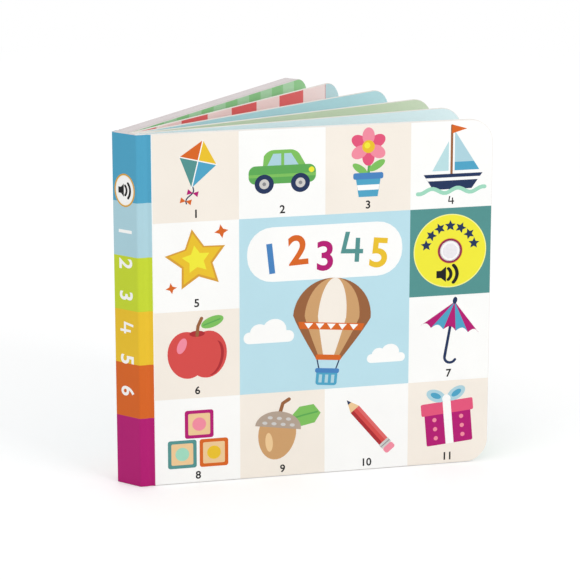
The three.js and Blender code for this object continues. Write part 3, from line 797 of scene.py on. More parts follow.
@dataclass(frozen=True)
class Face:
    """One printable face of a sheet.

    Args:
        plane: Middle plane of the sheet.
        depth: The face's distance from the middle plane, towards the back of the book.
        window: Outline inside which print shows, in page millimetres.
        width: Width of the page, from the hinge line to the fore-edge.
        lift: Height of the lowest layer of ink above the face.
    """

    plane: Plane
    depth: float
    window: tuple[Point, ...]
    width: float
    lift: float = 0.012

    @property
    def mirrored(self) -> bool:
        """Whether the page is seen from the back of the book."""
        return self.depth > 0

    def place(self, point: Point, lift: float) -> Vector:
        """A page point, some millimetres above the face, in metres."""
        along = self.width - point[0] if self.mirrored else point[0]
        side = 1.0 if self.mirrored else -1.0
        return self.plane.at(along, self.depth + side * lift, point[1])


@dataclass(frozen=True)
class Layer:
    """One layer of ink on a face.

    Args:
        mesh: Mesh to add to.
        face: Face that it is printed on.
        lift: Height of its top above the face, in millimetres.
        slot: Material index.
    """

    mesh: bmesh.types.BMesh
    face: Face
    lift: float
    slot: int

    def corners(self, outline: Outline, raised: bool) -> list[bmesh.types.BMVert]:
        """Corners of an outline, on the layer's top or at its foot."""
        lift = self.lift if raised else self.face.lift / 2
        return [self.mesh.verts.new(self.face.place(point, lift)) for point in outline]


class PrintShop:
    """Turns drawings into thin layers of ink on a face."""

    step = 0.006         # rise of each layer
    nearest = 0.01       # closer points are taken as one
    bold = 0.022         # digits of unit height are widened by this much
    plate = 0.01         # half their thickness before they are laid on a face
    four: Outline = [
        (-0.25, 0.5), (-0.38, -0.22), (0.1, -0.22), (0.1, -0.5), (0.25, -0.5), (0.25, -0.22),
        (0.37, -0.22), (0.37, -0.07), (0.25, -0.07), (0.25, 0.3), (0.1, 0.3), (0.1, -0.07),
        (-0.21, -0.07), (-0.1, 0.5),
    ]

    def __init__(self) -> None:
        """Start with no digits made."""
        self._digits: dict[str, bpy.types.Mesh] = {}

    def apply(self, name: str, drawing: Drawing, face: Face) -> bpy.types.Object:
        """Print a drawing.

        Args:
            name: Name of the piece.
            drawing: What to print.
            face: Where to print it.

        Returns:
            The printed piece, one closed layer for each shape.
        """
        slots: dict[Ink, int] = {}
        mesh = bmesh.new()

        def layer(ink: Ink, level: int) -> Layer:
            """A layer in one ink."""
            return Layer(mesh, face, face.lift + self.step * level,
                         slots.setdefault(ink, len(slots)))

        for outline, ink, level in drawing.marks:
            visible = clipped(self._counter_clockwise(outline), list(face.window))
            if len(visible) >= 3:
                self._shape(layer(ink, level), visible)
        for outline, hole, ink, level in drawing.rings:
            self._ring(layer(ink, level), outline, hole)
        for digits, point, height, turn, ink, level in drawing.figures:
            self._figure(layer(ink, level), digits, point, height, turn)
        bmesh.ops.recalc_face_normals(mesh, faces=mesh.faces)
        piece = mesh_object(name, mesh)
        for ink in slots:
            piece.data.materials.append(print_finish(ink).build())
        return piece

    @staticmethod
    def _counter_clockwise(outline: Outline) -> Outline:
        """The outline, turned counter-clockwise."""
        area = sum(outline[k - 1][0] * outline[k][1] - outline[k][0] * outline[k - 1][1]
                   for k in range(len(outline)))
        return outline if area > 0 else outline[::-1]

    def _shape(self, layer: Layer, outline: Outline) -> None:
        """Add one shape, without points that lie too close together."""
        clean: Outline = []
        for point in outline:
            if not clean or math.dist(point, clean[-1]) > self.nearest:
                clean.append(point)
        if math.dist(clean[0], clean[-1]) < self.nearest:
            clean.pop()
        if len(clean) >= 3:
            closed(layer.mesh, layer.corners(clean, True), layer.corners(clean, False), layer.slot)

    @staticmethod
    def _ring(layer: Layer, outline: Outline, hole: Outline) -> None:
        """Add one shape with a hole.

        Args:
            layer: Layer that it belongs to.
            outline: The outer outline.
            hole: The inner outline, with a point for each outer one.
        """
        loops = [layer.corners(line, raised) for line in (outline, hole) for raised in (True, False)]
        order = (0, 1, 3, 2)
        for first, second in zip(order, order[1:] + order[:1]):
            for k in range(len(outline)):
                after = (k + 1) % len(outline)
                made = layer.mesh.faces.new((loops[first][k], loops[second][k], loops[second][after],
                                             loops[first][after]))
                made.material_index = layer.slot

    def _figure(self, layer: Layer, digits: str, point: Point, height: float, turn: float) -> None:
        """Add digits.

        Args:
            layer: Layer that they belong to.
            digits: The digits.
            point: Their middle.
            height: Height of a digit.
            turn: Turn in degrees.
        """
        source = self._digit_mesh(digits)
        corners = []
        for vertex in source.vertices:
            across, up = rotated((vertex.co.x * height, vertex.co.y * height), turn)
            corners += layer.corners([(point[0] + across, point[1] + up)], vertex.co.z > 0)
        for polygon in source.polygons:
            made = layer.mesh.faces.new([corners[index] for index in polygon.vertices])
            made.material_index = layer.slot

    def _digit_mesh(self, digits: str) -> bpy.types.Mesh:
        """Digits of unit height about their middle, from Blender's own font but for an open four."""
        if digits == "4" and digits not in self._digits:
            self._digits[digits] = self._open_four()
        if digits not in self._digits:
            curve = bpy.data.curves.new("digits", "FONT")
            curve.body = digits
            curve.size = 1.0
            curve.extrude = self.plate
            curve.offset = self.bold
            curve.resolution_u = 5
            curve.align_x = "CENTER"
            holder = linked("digits", curve)
            graph = bpy.context.evaluated_depsgraph_get()
            mesh = bpy.data.meshes.new_from_object(holder.evaluated_get(graph))
            bpy.data.objects.remove(holder)
            low = min(vertex.co.y for vertex in mesh.vertices)
            high = max(vertex.co.y for vertex in mesh.vertices)
            middle = (low + high) / 2
            for vertex in mesh.vertices:
                vertex.co.y = (vertex.co.y - middle) / (high - low)
                vertex.co.x = vertex.co.x / (high - low)
            self._digits[digits] = mesh
        return self._digits[digits]

    def _open_four(self) -> bpy.types.Mesh:
        """A four that is open at its top, as a flat plate."""
        plate = bmesh.new()
        top, low = ([plate.verts.new((x, y, z)) for x, y in self.four]
                    for z in (self.plate, -self.plate))
        closed(plate, top, low)
        mesh = bpy.data.meshes.new("open_four")
        plate.to_mesh(mesh)
        plate.free()
        return mesh


def closed(mesh: bmesh.types.BMesh, top: list[bmesh.types.BMVert],
           base: list[bmesh.types.BMVert], slot: int = 0) -> None:
    """Close the space between two outlines that have as many points.

    Args:
        mesh: Mesh to add to.
        top: Corners of the upper outline.
        base: Corners of the lower one.
        slot: Material index.
    """
    faces = [mesh.faces.new(top), mesh.faces.new(base[::-1])]
    for k in range(len(top)):
        after = (k + 1) % len(top)
        faces.append(mesh.faces.new((top[k], base[k], base[after], top[after])))
    for polygon in faces:
        polygon.material_index = slot


def linked(name: str, data: bpy.types.ID) -> bpy.types.Object:
    """Make an object of some data and put it into the scene."""
    made = bpy.data.objects.new(name, data)
    bpy.context.scene.collection.objects.link(made)
    return made


def mesh_object(name: str, mesh: bmesh.types.BMesh) -> bpy.types.Object:
    """Make an object at the origin from a mesh in metres, and free the mesh.

    Args:
        name: Name of the piece.
        mesh: Its mesh.

    Returns:
        The object.
    """
    data = bpy.data.meshes.new(name)
    mesh.to_mesh(data)
    mesh.free()
    return linked(name, data)


def smooth(piece: bpy.types.Object, angle: float = 35.0) -> None:
    """Shade a piece smooth below an angle in degrees."""
    for polygon in piece.data.polygons:
        polygon.use_smooth = True
    piece.data.set_sharp_from_angle(angle=math.radians(angle))


def soften(solid: bpy.types.Object, width: float, flat_angle: float = 0.5,
           sharp_angle: float = 40.0) -> None:
    """Round the sharp edges of a CAD node by modifiers, its mesh unchanged.

    Args:
        solid: The CAD node.
        width: Width of the rounding in millimetres.
        flat_angle: Faces that meet at less than this are taken as one, in degrees.
        sharp_angle: Edges sharper than this are rounded.
    """
    weld = solid.modifiers.new("weld", "WELD")
    weld.merge_threshold = 1e-6
    flat = solid.modifiers.new("flat", "DECIMATE")
    flat.decimate_type = "DISSOLVE"
    flat.angle_limit = math.radians(flat_angle)
    flat.delimit = {"MATERIAL"}
    bevel = solid.modifiers.new("round", "BEVEL")
    bevel.width = width * MM
    bevel.segments = 2
    bevel.limit_method = "ANGLE"
    bevel.angle_limit = math.radians(sharp_angle)
    bevel.harden_normals = True


def facing(direction: Vector) -> Callable[[Vector, Vector], int]:
    """Picks slot 0 for faces that look in a direction, and slot 1 for all others."""
    return lambda normal, middle: 0 if normal.dot(direction) > 0.9 else 1


def paint_faces(solid: bpy.types.Object, finishes: Sequence[Finish],
                choose: Callable[[Vector, Vector], int] = lambda normal, middle: 0) -> None:
    """Give each face of a CAD node one of some finishes.

    Args:
        solid: The CAD node.
        finishes: Finishes, in the order of their material slots.
        choose: Picks a slot from a face's normal and its middle in millimetres.
    """
    solid.data.materials.clear()
    for finish in finishes:
        solid.data.materials.append(finish.build())
    for polygon in solid.data.polygons:
        polygon.material_index = choose(polygon.normal, polygon.center / MM)


# The book


@dataclass(frozen=True)
class BookSizes:
    """Sizes that the covers, leaves and spine share."""

    height: float = 180.0
    cover_width: float = 181.4
    corner: float = 12.0
    edge: float = 0.3
    strip: float = 7.0
    spine_lean: float = 6.0
    front_opening: float = 41.0
    leaf_openings: tuple[float, ...] = (31.1, 22.0, 11.1, 0.3)
    leaf_thickness: float = 1.2
    leaf_width: float = 179.2
    bend_radius: float = 4.0
    front_thickness: float = 2.4
    back_thickness: float = 2.0
    spine_thickness: float = 2.0
    pack_depth: float = 7.4
    page_thickness: float = 1.0
    print_gap: float = 0.1
    button: Point = (159.7, 113.0)
    root_gap: float = 0.3
    root_depth: float = 1.4
    first_leaf_gap: float = 0.75
    band_shares: tuple[float, ...] = (34.0, 27.5, 27.5, 27.5, 27.8, 35.7)
    band_inks: tuple[Ink, ...] = (Ink.SPINE_BLUE, Ink.SPINE_PALE, Ink.LIME, Ink.YELLOW,
                                  Ink.ORANGE, Ink.MAGENTA)

    def window(self, start: float, end: float) -> Outline:
        """Where print shows on a sheet, a little inside its edges.

        Args:
            start: Where it starts, from the hinge line.
            end: The sheet's fore-edge.

        Returns:
            The outline, counter-clockwise.
        """
        edge = self.edge
        return [(x, max(y, edge)) for x, y in sheet_outline(
            start, end - edge, self.height - edge, self.corner - edge)]

    def bands(self) -> list[tuple[float, float, Ink]]:
        """Each colour band of the spine: low edge, high edge and ink."""
        bands = []
        high = self.height
        for share, ink in zip(self.band_shares, self.band_inks):
            low = max(0.0, high - share)
            bands.append((low, high, ink))
            high = low
        return bands


@dataclass(frozen=True)
class BookPlan:
    """Where the book's sheets stand, worked out from the frame's hinges.

    Args:
        sizes: Sizes of the book.
        front: Hinge line of the front cover, in millimetres.
        back: Hinge line of the back cover.
    """

    sizes: BookSizes
    front: Point
    back: Point

    @classmethod
    def from_frame(cls, sizes: BookSizes, joints: Sequence[dict]) -> "BookPlan":
        """Read the hinge lines from the frame's joints.

        Args:
            sizes: Sizes of the book.
            joints: The joints of the frame.

        Returns:
            The plan.
        """
        places = {joint["name"]: joint.get("pos_m") for joint in joints}
        front = places["front_cover_hinge"]
        back = places["back_cover_hinge"]
        return cls(sizes, (front[0] / MM, front[1] / MM), (back[0] / MM, back[1] / MM))

    @property
    def cover(self) -> Plane:
        """Middle plane of the front cover."""
        return Plane(*self.front, -self.sizes.spine_lean - self.sizes.front_opening)

    @property
    def back_cover(self) -> Plane:
        """Middle plane of the back cover."""
        return Plane(*self.back, 0.0)

    @property
    def spine(self) -> Plane:
        """Outer face of the spine: along runs inward and depth from the front hinge to the back one."""
        lean = Plane(*self.front, -self.sizes.spine_lean)
        outer = lean.at(-self.sizes.front_thickness / 2, 0, 0) / MM
        return Plane(outer.x, outer.y, -self.sizes.spine_lean)

    def leaf(self, index: int) -> Plane:
        """Middle plane of a leaf past its bend, starting where it becomes straight."""
        sizes = self.sizes
        opening = sizes.leaf_openings[index]
        turn = math.radians(opening)
        radius = sizes.bend_radius + (index + 0.5) * sizes.leaf_thickness
        root = sizes.spine_thickness + sizes.root_gap + sizes.root_depth
        half = sizes.front_thickness / 2
        cover_turn = math.radians(sizes.front_opening)
        depth = sizes.spine_thickness + sizes.root_gap - half
        stack = (half - depth * math.sin(cover_turn)) / math.cos(cover_turn) + sizes.first_leaf_gap
        start = self.spine.at(root + radius * math.sin(turn),
                              stack - sizes.bend_radius + radius * math.cos(turn), 0) / MM
        return Plane(start.x, start.y, -sizes.spine_lean - opening)

    def leaf_reach(self, index: int) -> float:
        """Straight length of a leaf past its bend."""
        sizes = self.sizes
        radius = sizes.bend_radius + (index + 0.5) * sizes.leaf_thickness
        return sizes.leaf_width - sizes.root_depth - radius * math.radians(sizes.leaf_openings[index])


@dataclass
class BookPart:
    """What every part of the book is built from.

    Args:
        sizes: Sizes of the book.
        plan: Where the sheets stand.
        shop: Prints drawings.
        nodes: The CAD nodes.
    """

    sizes: BookSizes
    plan: BookPlan
    shop: PrintShop
    nodes: dict[str, bpy.types.Object]


@dataclass
class FoldWrap(BookPart):
    """Laminated paper that runs from the spine round a fold onto a cover's pressed joint.

    Args:
        front: True for the fold of the front cover.
        film: Thickness of the paper.
        spine_reach: How far it lies on the spine.
        valley: Place, half-width and depth of the pressed joint.
        end_gap: Gap between its end and the end of the strip.
        bend: Where it starts to bend on the spine and ends on the cover, as shares of spine_reach.
        foot: Height of its inner side above the board, as a share of its thickness.
        steps: Number of points round the fold and over the joint.
    """

    front: bool
    film: float = 0.1
    spine_reach: float = 2.2
    valley: tuple[float, float, float] = (4.75, 2.15, 0.45)
    end_gap: float = 0.25
    bend: Point = (0.7, 0.4)
    foot: float = 0.2
    steps: tuple[int, int] = (12, 32)

    def build(self) -> bpy.types.Object:
        """Make the wrap.

        Returns:
            The wrap.
        """
        line, normals = self._middle_line()
        mesh = bmesh.new()
        inks: list[Finish] = []
        for low, high, ink in self.sizes.bands():
            inks.append(print_finish(ink))
            self._band(mesh, line, normals, low, high, len(inks) - 1)
        bmesh.ops.remove_doubles(mesh, verts=mesh.verts, dist=1e-7)
        bmesh.ops.recalc_face_normals(mesh, faces=mesh.faces)
        piece = mesh_object("front_fold_wrap" if self.front else "rear_fold_wrap", mesh)
        for finish in inks:
            piece.data.materials.append(finish.build())
        smooth(piece, 50)
        middle = self.sizes.height / 2
        spine_side = self._spine_point(self.spine_reach * self.bend[0], middle)
        cover_side = self._cover_point(self.spine_reach * self.bend[1], middle)
        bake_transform(piece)
        return piece

    def _radius(self) -> float:
        """Half the thickness of the cover."""
        return (self.sizes.front_thickness if self.front else self.sizes.back_thickness) / 2

    def _hinge(self) -> Plane:
        """Plane of the cover."""
        return self.plan.cover if self.front else self.plan.back_cover

    def _outward(self) -> float:
        """Sign of the cover's outer side, along its plane's rear direction."""
        return -1.0 if self.front else 1.0

    def _spine_point(self, reach: float, up: float) -> Vector:
        """A place on the spine's outer face, some way from the hinge line, in metres."""
        spine = self.plan.spine
        hinge = Vector((*(self.plan.front if self.front else self.plan.back), 0.0))
        side = 1.0 if self.front else -1.0
        foot = hinge - spine.along * self._radius() + spine.rear * side * reach
        return Vector((foot.x, foot.y, up)) * MM

    def _cover_point(self, along: float, up: float) -> Vector:
        """A place on the cover's outer face, some way from the hinge line, in metres."""
        return self._hinge().at(along, self._outward() * self._radius(), up)

    def _middle_line(self) -> tuple[list[Vector], list[Vector]]:
        """The wrap's path in plan and its outward normals, both in metres at the tail."""
        spine = self.plan.spine
        plane = self._hinge()
        hinge = Vector((*(self.plan.front if self.front else self.plan.back), 0.0)) * MM
        spine_out = -spine.along
        cover_out = plane.rear * self._outward()
        line: list[Vector] = []
        normals: list[Vector] = []
        for reach in (self.spine_reach, self.spine_reach * 0.6, self.spine_reach * 0.2):
            line.append(self._spine_point(reach, 0.0))
            normals.append(spine_out)
        round_steps, joint_steps = self.steps
        turn = spine_out.angle(cover_out)
        side = 1.0 if spine_out.cross(cover_out).z > 0 else -1.0
        for k in range(round_steps + 1):
            normal = spine_out.copy()
            normal.rotate(Matrix.Rotation(side * turn * k / round_steps, 3, "Z"))
            line.append(hinge + normal * self._radius() * MM)
            normals.append(normal)
        centre, half, depth = self.valley
        end = self.sizes.strip - self.end_gap
        for k in range(1, joint_steps + 1):
            along = end * k / joint_steps
            share = min(1.0, abs(along - centre) / half)
            fall = depth * (1 + math.cos(math.pi * share)) / 2
            line.append(self._cover_point(along, 0.0) - cover_out * fall * MM)
            normals.append(cover_out)
        return line, normals

    def _band(self, mesh: bmesh.types.BMesh, line: list[Vector], normals: list[Vector],
              low: float, high: float, slot: int) -> None:
        """Add one colour band of the wrap.

        Args:
            mesh: Mesh to add to.
            line: Path in plan.
            normals: Outward normals along the path.
            low: Low edge of the band.
            high: High edge.
            slot: Material index.
        """
        rows = []
        for up in (low, high):
            rise = Vector((0, 0, up * MM))
            rows.append([[mesh.verts.new(point + normal * height * MM + rise)
                          for point, normal in zip(line, normals)]
                         for height in (self.film, self.film * self.foot)])
        (low_out, low_in), (high_out, high_in) = rows
        for k in range(len(line) - 1):
            quads = [(low_out[k], low_out[k + 1], high_out[k + 1], high_out[k]),
                     (low_in[k + 1], low_in[k], high_in[k], high_in[k + 1])]
            if low == 0.0:
                quads.append((low_in[k], low_in[k + 1], low_out[k + 1], low_out[k]))
            if high == self.sizes.height:
                quads.append((high_out[k], high_out[k + 1], high_in[k + 1], high_in[k]))
            for quad in quads:
                mesh.faces.new(quad).material_index = slot
        for k in (0, len(line) - 1):
            mesh.faces.new((low_out[k], low_in[k], high_in[k], high_out[k])).material_index = slot


@dataclass
class Spine(BookPart):
    """Spine panel with its bands of colour, its sign and its numbers.

    Args:
        sign_up: Height of the sign's middle.
        sign_half: Half-width and half-height of the sign.
        digit_height: Height of the numbers.
        numbers: How many numbers run down the spine.
        first_number_up: Height of the first number's middle.
        number_pitch: Distance between numbers.
        wrapped: Width next to each hinge line that the fold wraps cover.
    """

    sign_up: float = 151.7
    sign_half: Point = (6.4, 8.35)
    digit_height: float = 8.2
    numbers: int = 6
    first_number_up: float = 131.0
    number_pitch: float = 16.4
    wrapped: float = 2.2

    def build(self) -> list[bpy.types.Object]:
        """Dress the panel and print its outer face.

        Returns:
            The printed piece and the two fold wraps.
        """
        outward = -self.plan.spine.along
        # The panel's inner faces and edges take the core edge grey, which holds painted shade.
        paint_faces(self.nodes["spine_panel"], [print_finish(Ink.SPINE_PALE), CORE_EDGE_PAINTED_SHADE],
                    facing(outward))
        spine = self.plan.spine
        across = self._across()
        face = Face(Plane(spine.x, spine.y, spine.heading + 90.0), 1e-6,
                    tuple(box(0, 0, across, self.sizes.height)), across, lift=0.1)
        piece = self.shop.apply("spine_print", self._drawing(across), face)
        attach(piece, "spine")
        wraps = [FoldWrap(self.sizes, self.plan, self.shop, self.nodes, front)
                 for front in (True, False)]
        return [piece] + [wrap.build() for wrap in wraps]

    def _across(self) -> float:
        """Distance between the two hinge lines."""
        return math.dist(self.plan.front, self.plan.back)

    def _drawing(self, across: float) -> Drawing:
        """Bands, the sound sign and numbers that read down the spine.

        Args:
            across: Width of the face.

        Returns:
            The drawing, seen from outside.
        """
        drawing = Drawing()
        for low, high, ink in self.sizes.bands():
            drawing.add(box(self.wrapped, low, across - self.wrapped, high), ink, 0)
        middle = across / 2
        half_across, half_up = self.sign_half
        inner = ((0.0, Ink.AMBER), (0.75, Ink.WARM_RIM), (1.1, Ink.WHITE))
        for layer, (inset, ink) in enumerate(inner, 1):
            drawing.add(ellipse(middle, self.sign_up, half_across - inset, half_up - inset, steps=56),
                        ink, layer)
        drawing.place(sound_sign(7.8, 8.2), middle, self.sign_up, layer=4)
        for index in range(self.numbers):
            up = self.first_number_up - self.number_pitch * index
            drawing.figure(str(index + 1), middle, up, self.digit_height, Ink.WHITE, turn=-90, layer=1)
        return drawing


@dataclass
class FrontCover(BookPart):
    """Front cover: a checked field of small pictures round a panel, and the push button.

    Args:
        liner_start: Where the print inside the cover starts, from the hinge line.
        columns: Column edges from the hinge line.
        rows: Row edges from the tail.
        hole: Radius that the print leaves open round the button.
        disc: Radius of the disc round the button.
        ring: Radius of the ring round the button.
        sign: Width and height of the sound sign.
        sign_place: Middle of the sign, from the button's middle.
        stars: How many stars the disc has.
        star_arc: First star's direction and the step to the next, in degrees.
        star_reach: Their distance from the button's middle.
        star_size: Radius of a star's tips and of its notches.
        picture_lift: How far the pictures stand above the middle of their cells.
        label: Height of the small numbers and how far up a cell they stand.
    """

    liner_start: float = 9.4
    columns: tuple[float, ...] = (7.2, 50.6, 94.6, 138.6, 181.1)
    rows: tuple[float, ...] = (0.0, 44.6, 89.8, 135.3, 180.0)
    hole: float = 5.35
    disc: float = 19.1
    ring: float = 6.3
    sign: Point = (11.6, 9.9)
    sign_place: Point = (-1.2, -12.1)
    stars: int = 7
    star_arc: Point = (165.0, -25.0)
    star_reach: float = 13.0
    star_size: Point = (3.0, 1.4)
    picture_lift: float = 3.0
    label: Point = (4.2, 4.0)

    def build(self) -> list[bpy.types.Object]:
        """Dress the boards and print both faces.

        Returns:
            The printed pieces.
        """
        outward = -self.plan.cover.rear
        paint_faces(self.nodes["front_cover_board"], [print_finish(Ink.WHITE), BOARD_EDGE],
                    facing(outward))
        paint_faces(self.nodes["cover_liner"], [print_finish(Ink.PALE_BLUE), BOARD_EDGE],
                    facing(-outward))
        half = self.sizes.front_thickness / 2
        width = self.sizes.cover_width
        window = self.sizes.window(self.sizes.strip + self.sizes.print_gap, width)
        front = Face(self.plan.cover, -half, tuple(window), width)
        art = self.shop.apply("cover_print", self._cover_drawing(), front)
        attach(art, "front_cover")
        mirrored = [(min(width - x, width - self.liner_start), y) for x, y in window][::-1]
        inside = Face(self.plan.cover, half, tuple(mirrored), width)
        back = self.shop.apply("cover_inside_print", hill_page(width, self.sizes.height, True), inside)
        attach(back, "front_cover")
        return [art, back]

    def _cell(self, column: int, row: int) -> tuple[float, float, float, float]:
        """Left, low, right and high of a cell, columns from the spine and rows from the tail."""
        return self.columns[column], self.rows[row], self.columns[column + 1], self.rows[row + 1]

    def _cover_drawing(self) -> Drawing:
        """The whole outer face."""
        drawing = Drawing()
        last = len(self.columns) - 2
        top = len(self.rows) - 2
        for column in range(last + 1):
            for row in range(top + 1):
                ink = Ink.CREAM if (column + top - row) % 2 == 0 else Ink.WHITE
                if (column, row) != (last, 2):
                    drawing.add(box(*self._cell(column, row)), ink, 0)
        drawing.add(box(self.columns[1], self.rows[1], self.columns[3], self.rows[3]), Ink.SKY, 1)
        self._button_sign(drawing)
        self._pictures(drawing)
        self._panel(drawing)
        return drawing

    def _button_sign(self, drawing: Drawing) -> None:
        """Disc, ring and sign round the button.

        Args:
            drawing: Drawing of the cover.
        """
        x, y = self.sizes.button
        steps = 96
        hole = ellipse(x, y, self.hole, self.hole, steps=steps)
        edge = cell_round(*self._cell(len(self.columns) - 2, 2), x, y, steps)
        drawing.rings.append((edge, hole, Ink.TEAL, 0))
        circles = ((self.disc, Ink.LEMON_RIM), (self.disc - 0.5, Ink.LEMON),
                   (self.ring + 0.3, Ink.AMBER), (self.ring, Ink.PLUM))
        for layer, (radius, ink) in enumerate(circles, 1):
            drawing.rings.append((ellipse(x, y, radius, radius, steps=steps), hole, ink, layer))
        drawing.place(sound_sign(*self.sign), x + self.sign_place[0], y + self.sign_place[1],
                      layer=5)
        for index in range(self.stars):
            turn = self.star_arc[0] + self.star_arc[1] * index
            spot = rotated((self.star_reach, 0.0), turn)
            drawing.place(Drawing([(star(0, 0, *self.star_size), Ink.NAVY, 0)]), x + spot[0],
                          y + spot[1], turn=turn - 90, layer=5)

    def _pictures(self, drawing: Drawing) -> None:
        """Small pictures in the cells, each with its number.

        Args:
            drawing: Drawing of the cover.
        """
        pictures = (
            (0, 3, kite(), 1.06, -14), (1, 3, car(), 1.18, 0), (2, 3, potted_flower(), 1.02, 0),
            (3, 3, sailing_boat(), 1.12, 0), (0, 2, bright_star(), 1.12, 8),
            (0, 1, apple(), 1.3, 0), (3, 1, umbrella(), 1.16, -10), (0, 0, toy_blocks(), 1.1, 0),
            (1, 0, oak_nut(), 1.2, -8), (2, 0, pencil(), 1.02, 40), (3, 0, gift_box(), 1.12, 5),
        )
        for number, (column, row, picture, scale, turn) in enumerate(pictures, 1):
            left, low, right, high = self._cell(column, row)
            middle = (left + right) / 2
            drawing.place(picture, middle, (low + high) / 2 + self.picture_lift, scale, turn, layer=2)
            drawing.figure(str(number), middle, low + self.label[1], self.label[0], Ink.BLACK,
                           layer=3)

    def _panel(self, drawing: Drawing) -> None:
        """A balloon among clouds under a white shape with large numbers.

        Args:
            drawing: Drawing of the cover.
        """
        left, low = self.columns[1], self.rows[1]
        right, high = self.columns[3], self.rows[3]
        middle = (left + right) / 2
        drawing.add(box(left + 4, high - 33, right - 4, high - 5, 13), Ink.WHITE, 2)
        inks = (Ink.BLUE, Ink.ORANGE, Ink.MAGENTA, Ink.TEAL, Ink.YELLOW)
        start, pitch, height, lowered = 16.0, 14.0, 15.5, 19.5
        for index, ink in enumerate(inks):
            lift = 2.2 if index % 2 else -1.6
            drawing.figure(str(index + 1), left + start + pitch * index, high - lowered + lift,
                           height, ink, turn=6 - 3 * index, layer=4)
        drawing.place(cloud(26), left + 15, low + 30, layer=2)
        drawing.place(cloud(20), right - 12, low + 15, layer=2)
        drawing.place(hot_air_balloon(), middle + 3, low + 30.5, 0.92, -5, layer=5)


# Pages: plain fields with simple shapes and pictures, no numbers


def plain_page(width: float, height: float, ink: Ink) -> Drawing:
    """A page in one colour."""
    return Drawing().add(box(0, 0, width, height), ink, 0)


def hill_page(width: float, height: float, left_page: bool) -> Drawing:
    """Hills under a sun.

    Args:
        width: Page width.
        height: Page height.
        left_page: True for a left-hand page.

    Returns:
        The drawing.
    """
    drawing = plain_page(width, height, Ink.PALE_BLUE)
    drawing.add(ellipse(width * 0.3, -40, width * 0.75, 100, steps=80), Ink.MINT, 1)
    drawing.add(ellipse(width * 0.9, -52, width * 0.7, 98, steps=80), Ink.LEAF_GREEN, 2)
    if left_page:
        drawing.add(ellipse(width * 0.32, height * 0.66, 20, 20), Ink.YELLOW, 3)
        drawing.add(ellipse(width * 0.32, height * 0.66, 15, 15), Ink.LEMON, 4)
    else:
        drawing.place(cloud(46), width * 0.55, height * 0.66, layer=3)
        drawing.place(kite(), width * 0.3, height * 0.6, 1.6, 12, layer=4)
    return drawing


def orchard_page(width: float, height: float, left_page: bool) -> Drawing:
    """Apples in rows on sage green."""
    drawing = plain_page(width, height, Ink.SAGE)
    drawing.add(box(0, 0, width, 26), Ink.LEAF_GREEN, 1)
    for row in range(2):
        for column in range(3):
            picture = apple() if (row + column + left_page) % 2 else oak_nut()
            drawing.place(picture, width * (0.2 + 0.3 * column), height * (0.36 + 0.3 * row), 1.35,
                          layer=2)
    return drawing


def harbour_page(width: float, height: float, left_page: bool) -> Drawing:
    """A boat on water."""
    drawing = plain_page(width, height, Ink.AQUA)
    drawing.add(box(0, 0, width, height * 0.36), Ink.SPINE_BLUE, 1)
    drawing.place(cloud(40), width * 0.3, height * 0.72, layer=2)
    picture = sailing_boat() if left_page else hot_air_balloon()
    drawing.place(picture, width * 0.56, height * 0.42, 2.6 if left_page else 1.5, layer=3)
    return drawing


def table_page(width: float, height: float, left_page: bool) -> Drawing:
    """Red checks on blush, with a blue margin at the fore-edge."""
    drawing = plain_page(width, height, Ink.BLUSH)
    margin = 13.2
    fore = (0.0, margin) if left_page else (width - margin, width)
    drawing.add(box(fore[0], 0, fore[1], height), Ink.AQUA, 5)
    return drawing


def empty_tree(name: str, inputs: dict[str, str]) -> bpy.types.NodeTree:
    """A geometry tree with named inputs and one geometry output.

    Args:
        name: Name of the tree.
        inputs: Kind of socket for each input.

    Returns:
        The tree.
    """
    tree = bpy.data.node_groups.new(name, "GeometryNodeTree")
    for label, kind in inputs.items():
        tree.interface.new_socket(name=label, in_out="INPUT", socket_type=kind)
    tree.interface.new_socket(name="Geometry", in_out="OUTPUT", socket_type="NodeSocketGeometry")
    return tree


def spread(tree: bpy.types.NodeTree, points: bpy.types.NodeSocket, keep: bpy.types.NodeSocket,
           shape: bpy.types.NodeSocket, finish: Finish) -> None:
    """Put a shape on the chosen points, make it real, give it its finish and send it out.

    Args:
        tree: The tree.
        points: Geometry whose points bear the shape.
        keep: Which points bear it.
        shape: The shape.
        finish: Its finish.
    """
    onto = node(tree, "GeometryNodeInstanceOnPoints", {
        "Points": points, "Selection": keep, "Instance": shape})
    real = node(tree, "GeometryNodeRealizeInstances", {"Geometry": onto.outputs["Instances"]})
    dress = node(tree, "GeometryNodeSetMaterial", {
        "Geometry": real.outputs["Geometry"], "Material": finish.build()})
    node(tree, "NodeGroupOutput", {"Geometry": dress.outputs["Geometry"]})


def point_grid(tree: bpy.types.NodeTree, columns: bpy.types.NodeSocket,
               rows: bpy.types.NodeSocket, pitch: bpy.types.NodeSocket) -> bpy.types.NodeSocket:
    """A square grid of points about the origin.

    Args:
        tree: The tree.
        columns: Points across.
        rows: Points up.
        pitch: Distance between points.

    Returns:
        The grid.
    """
    inputs: dict[str, bpy.types.NodeSocket] = {}
    for axis, count in (("X", columns), ("Y", rows)):
        inputs[f"Vertices {axis}"] = count
        inputs[f"Size {axis}"] = maths(tree, "MULTIPLY", maths(tree, "SUBTRACT", count, 1.0), pitch)
    return node(tree, "GeometryNodeMeshGrid", inputs).outputs["Mesh"]


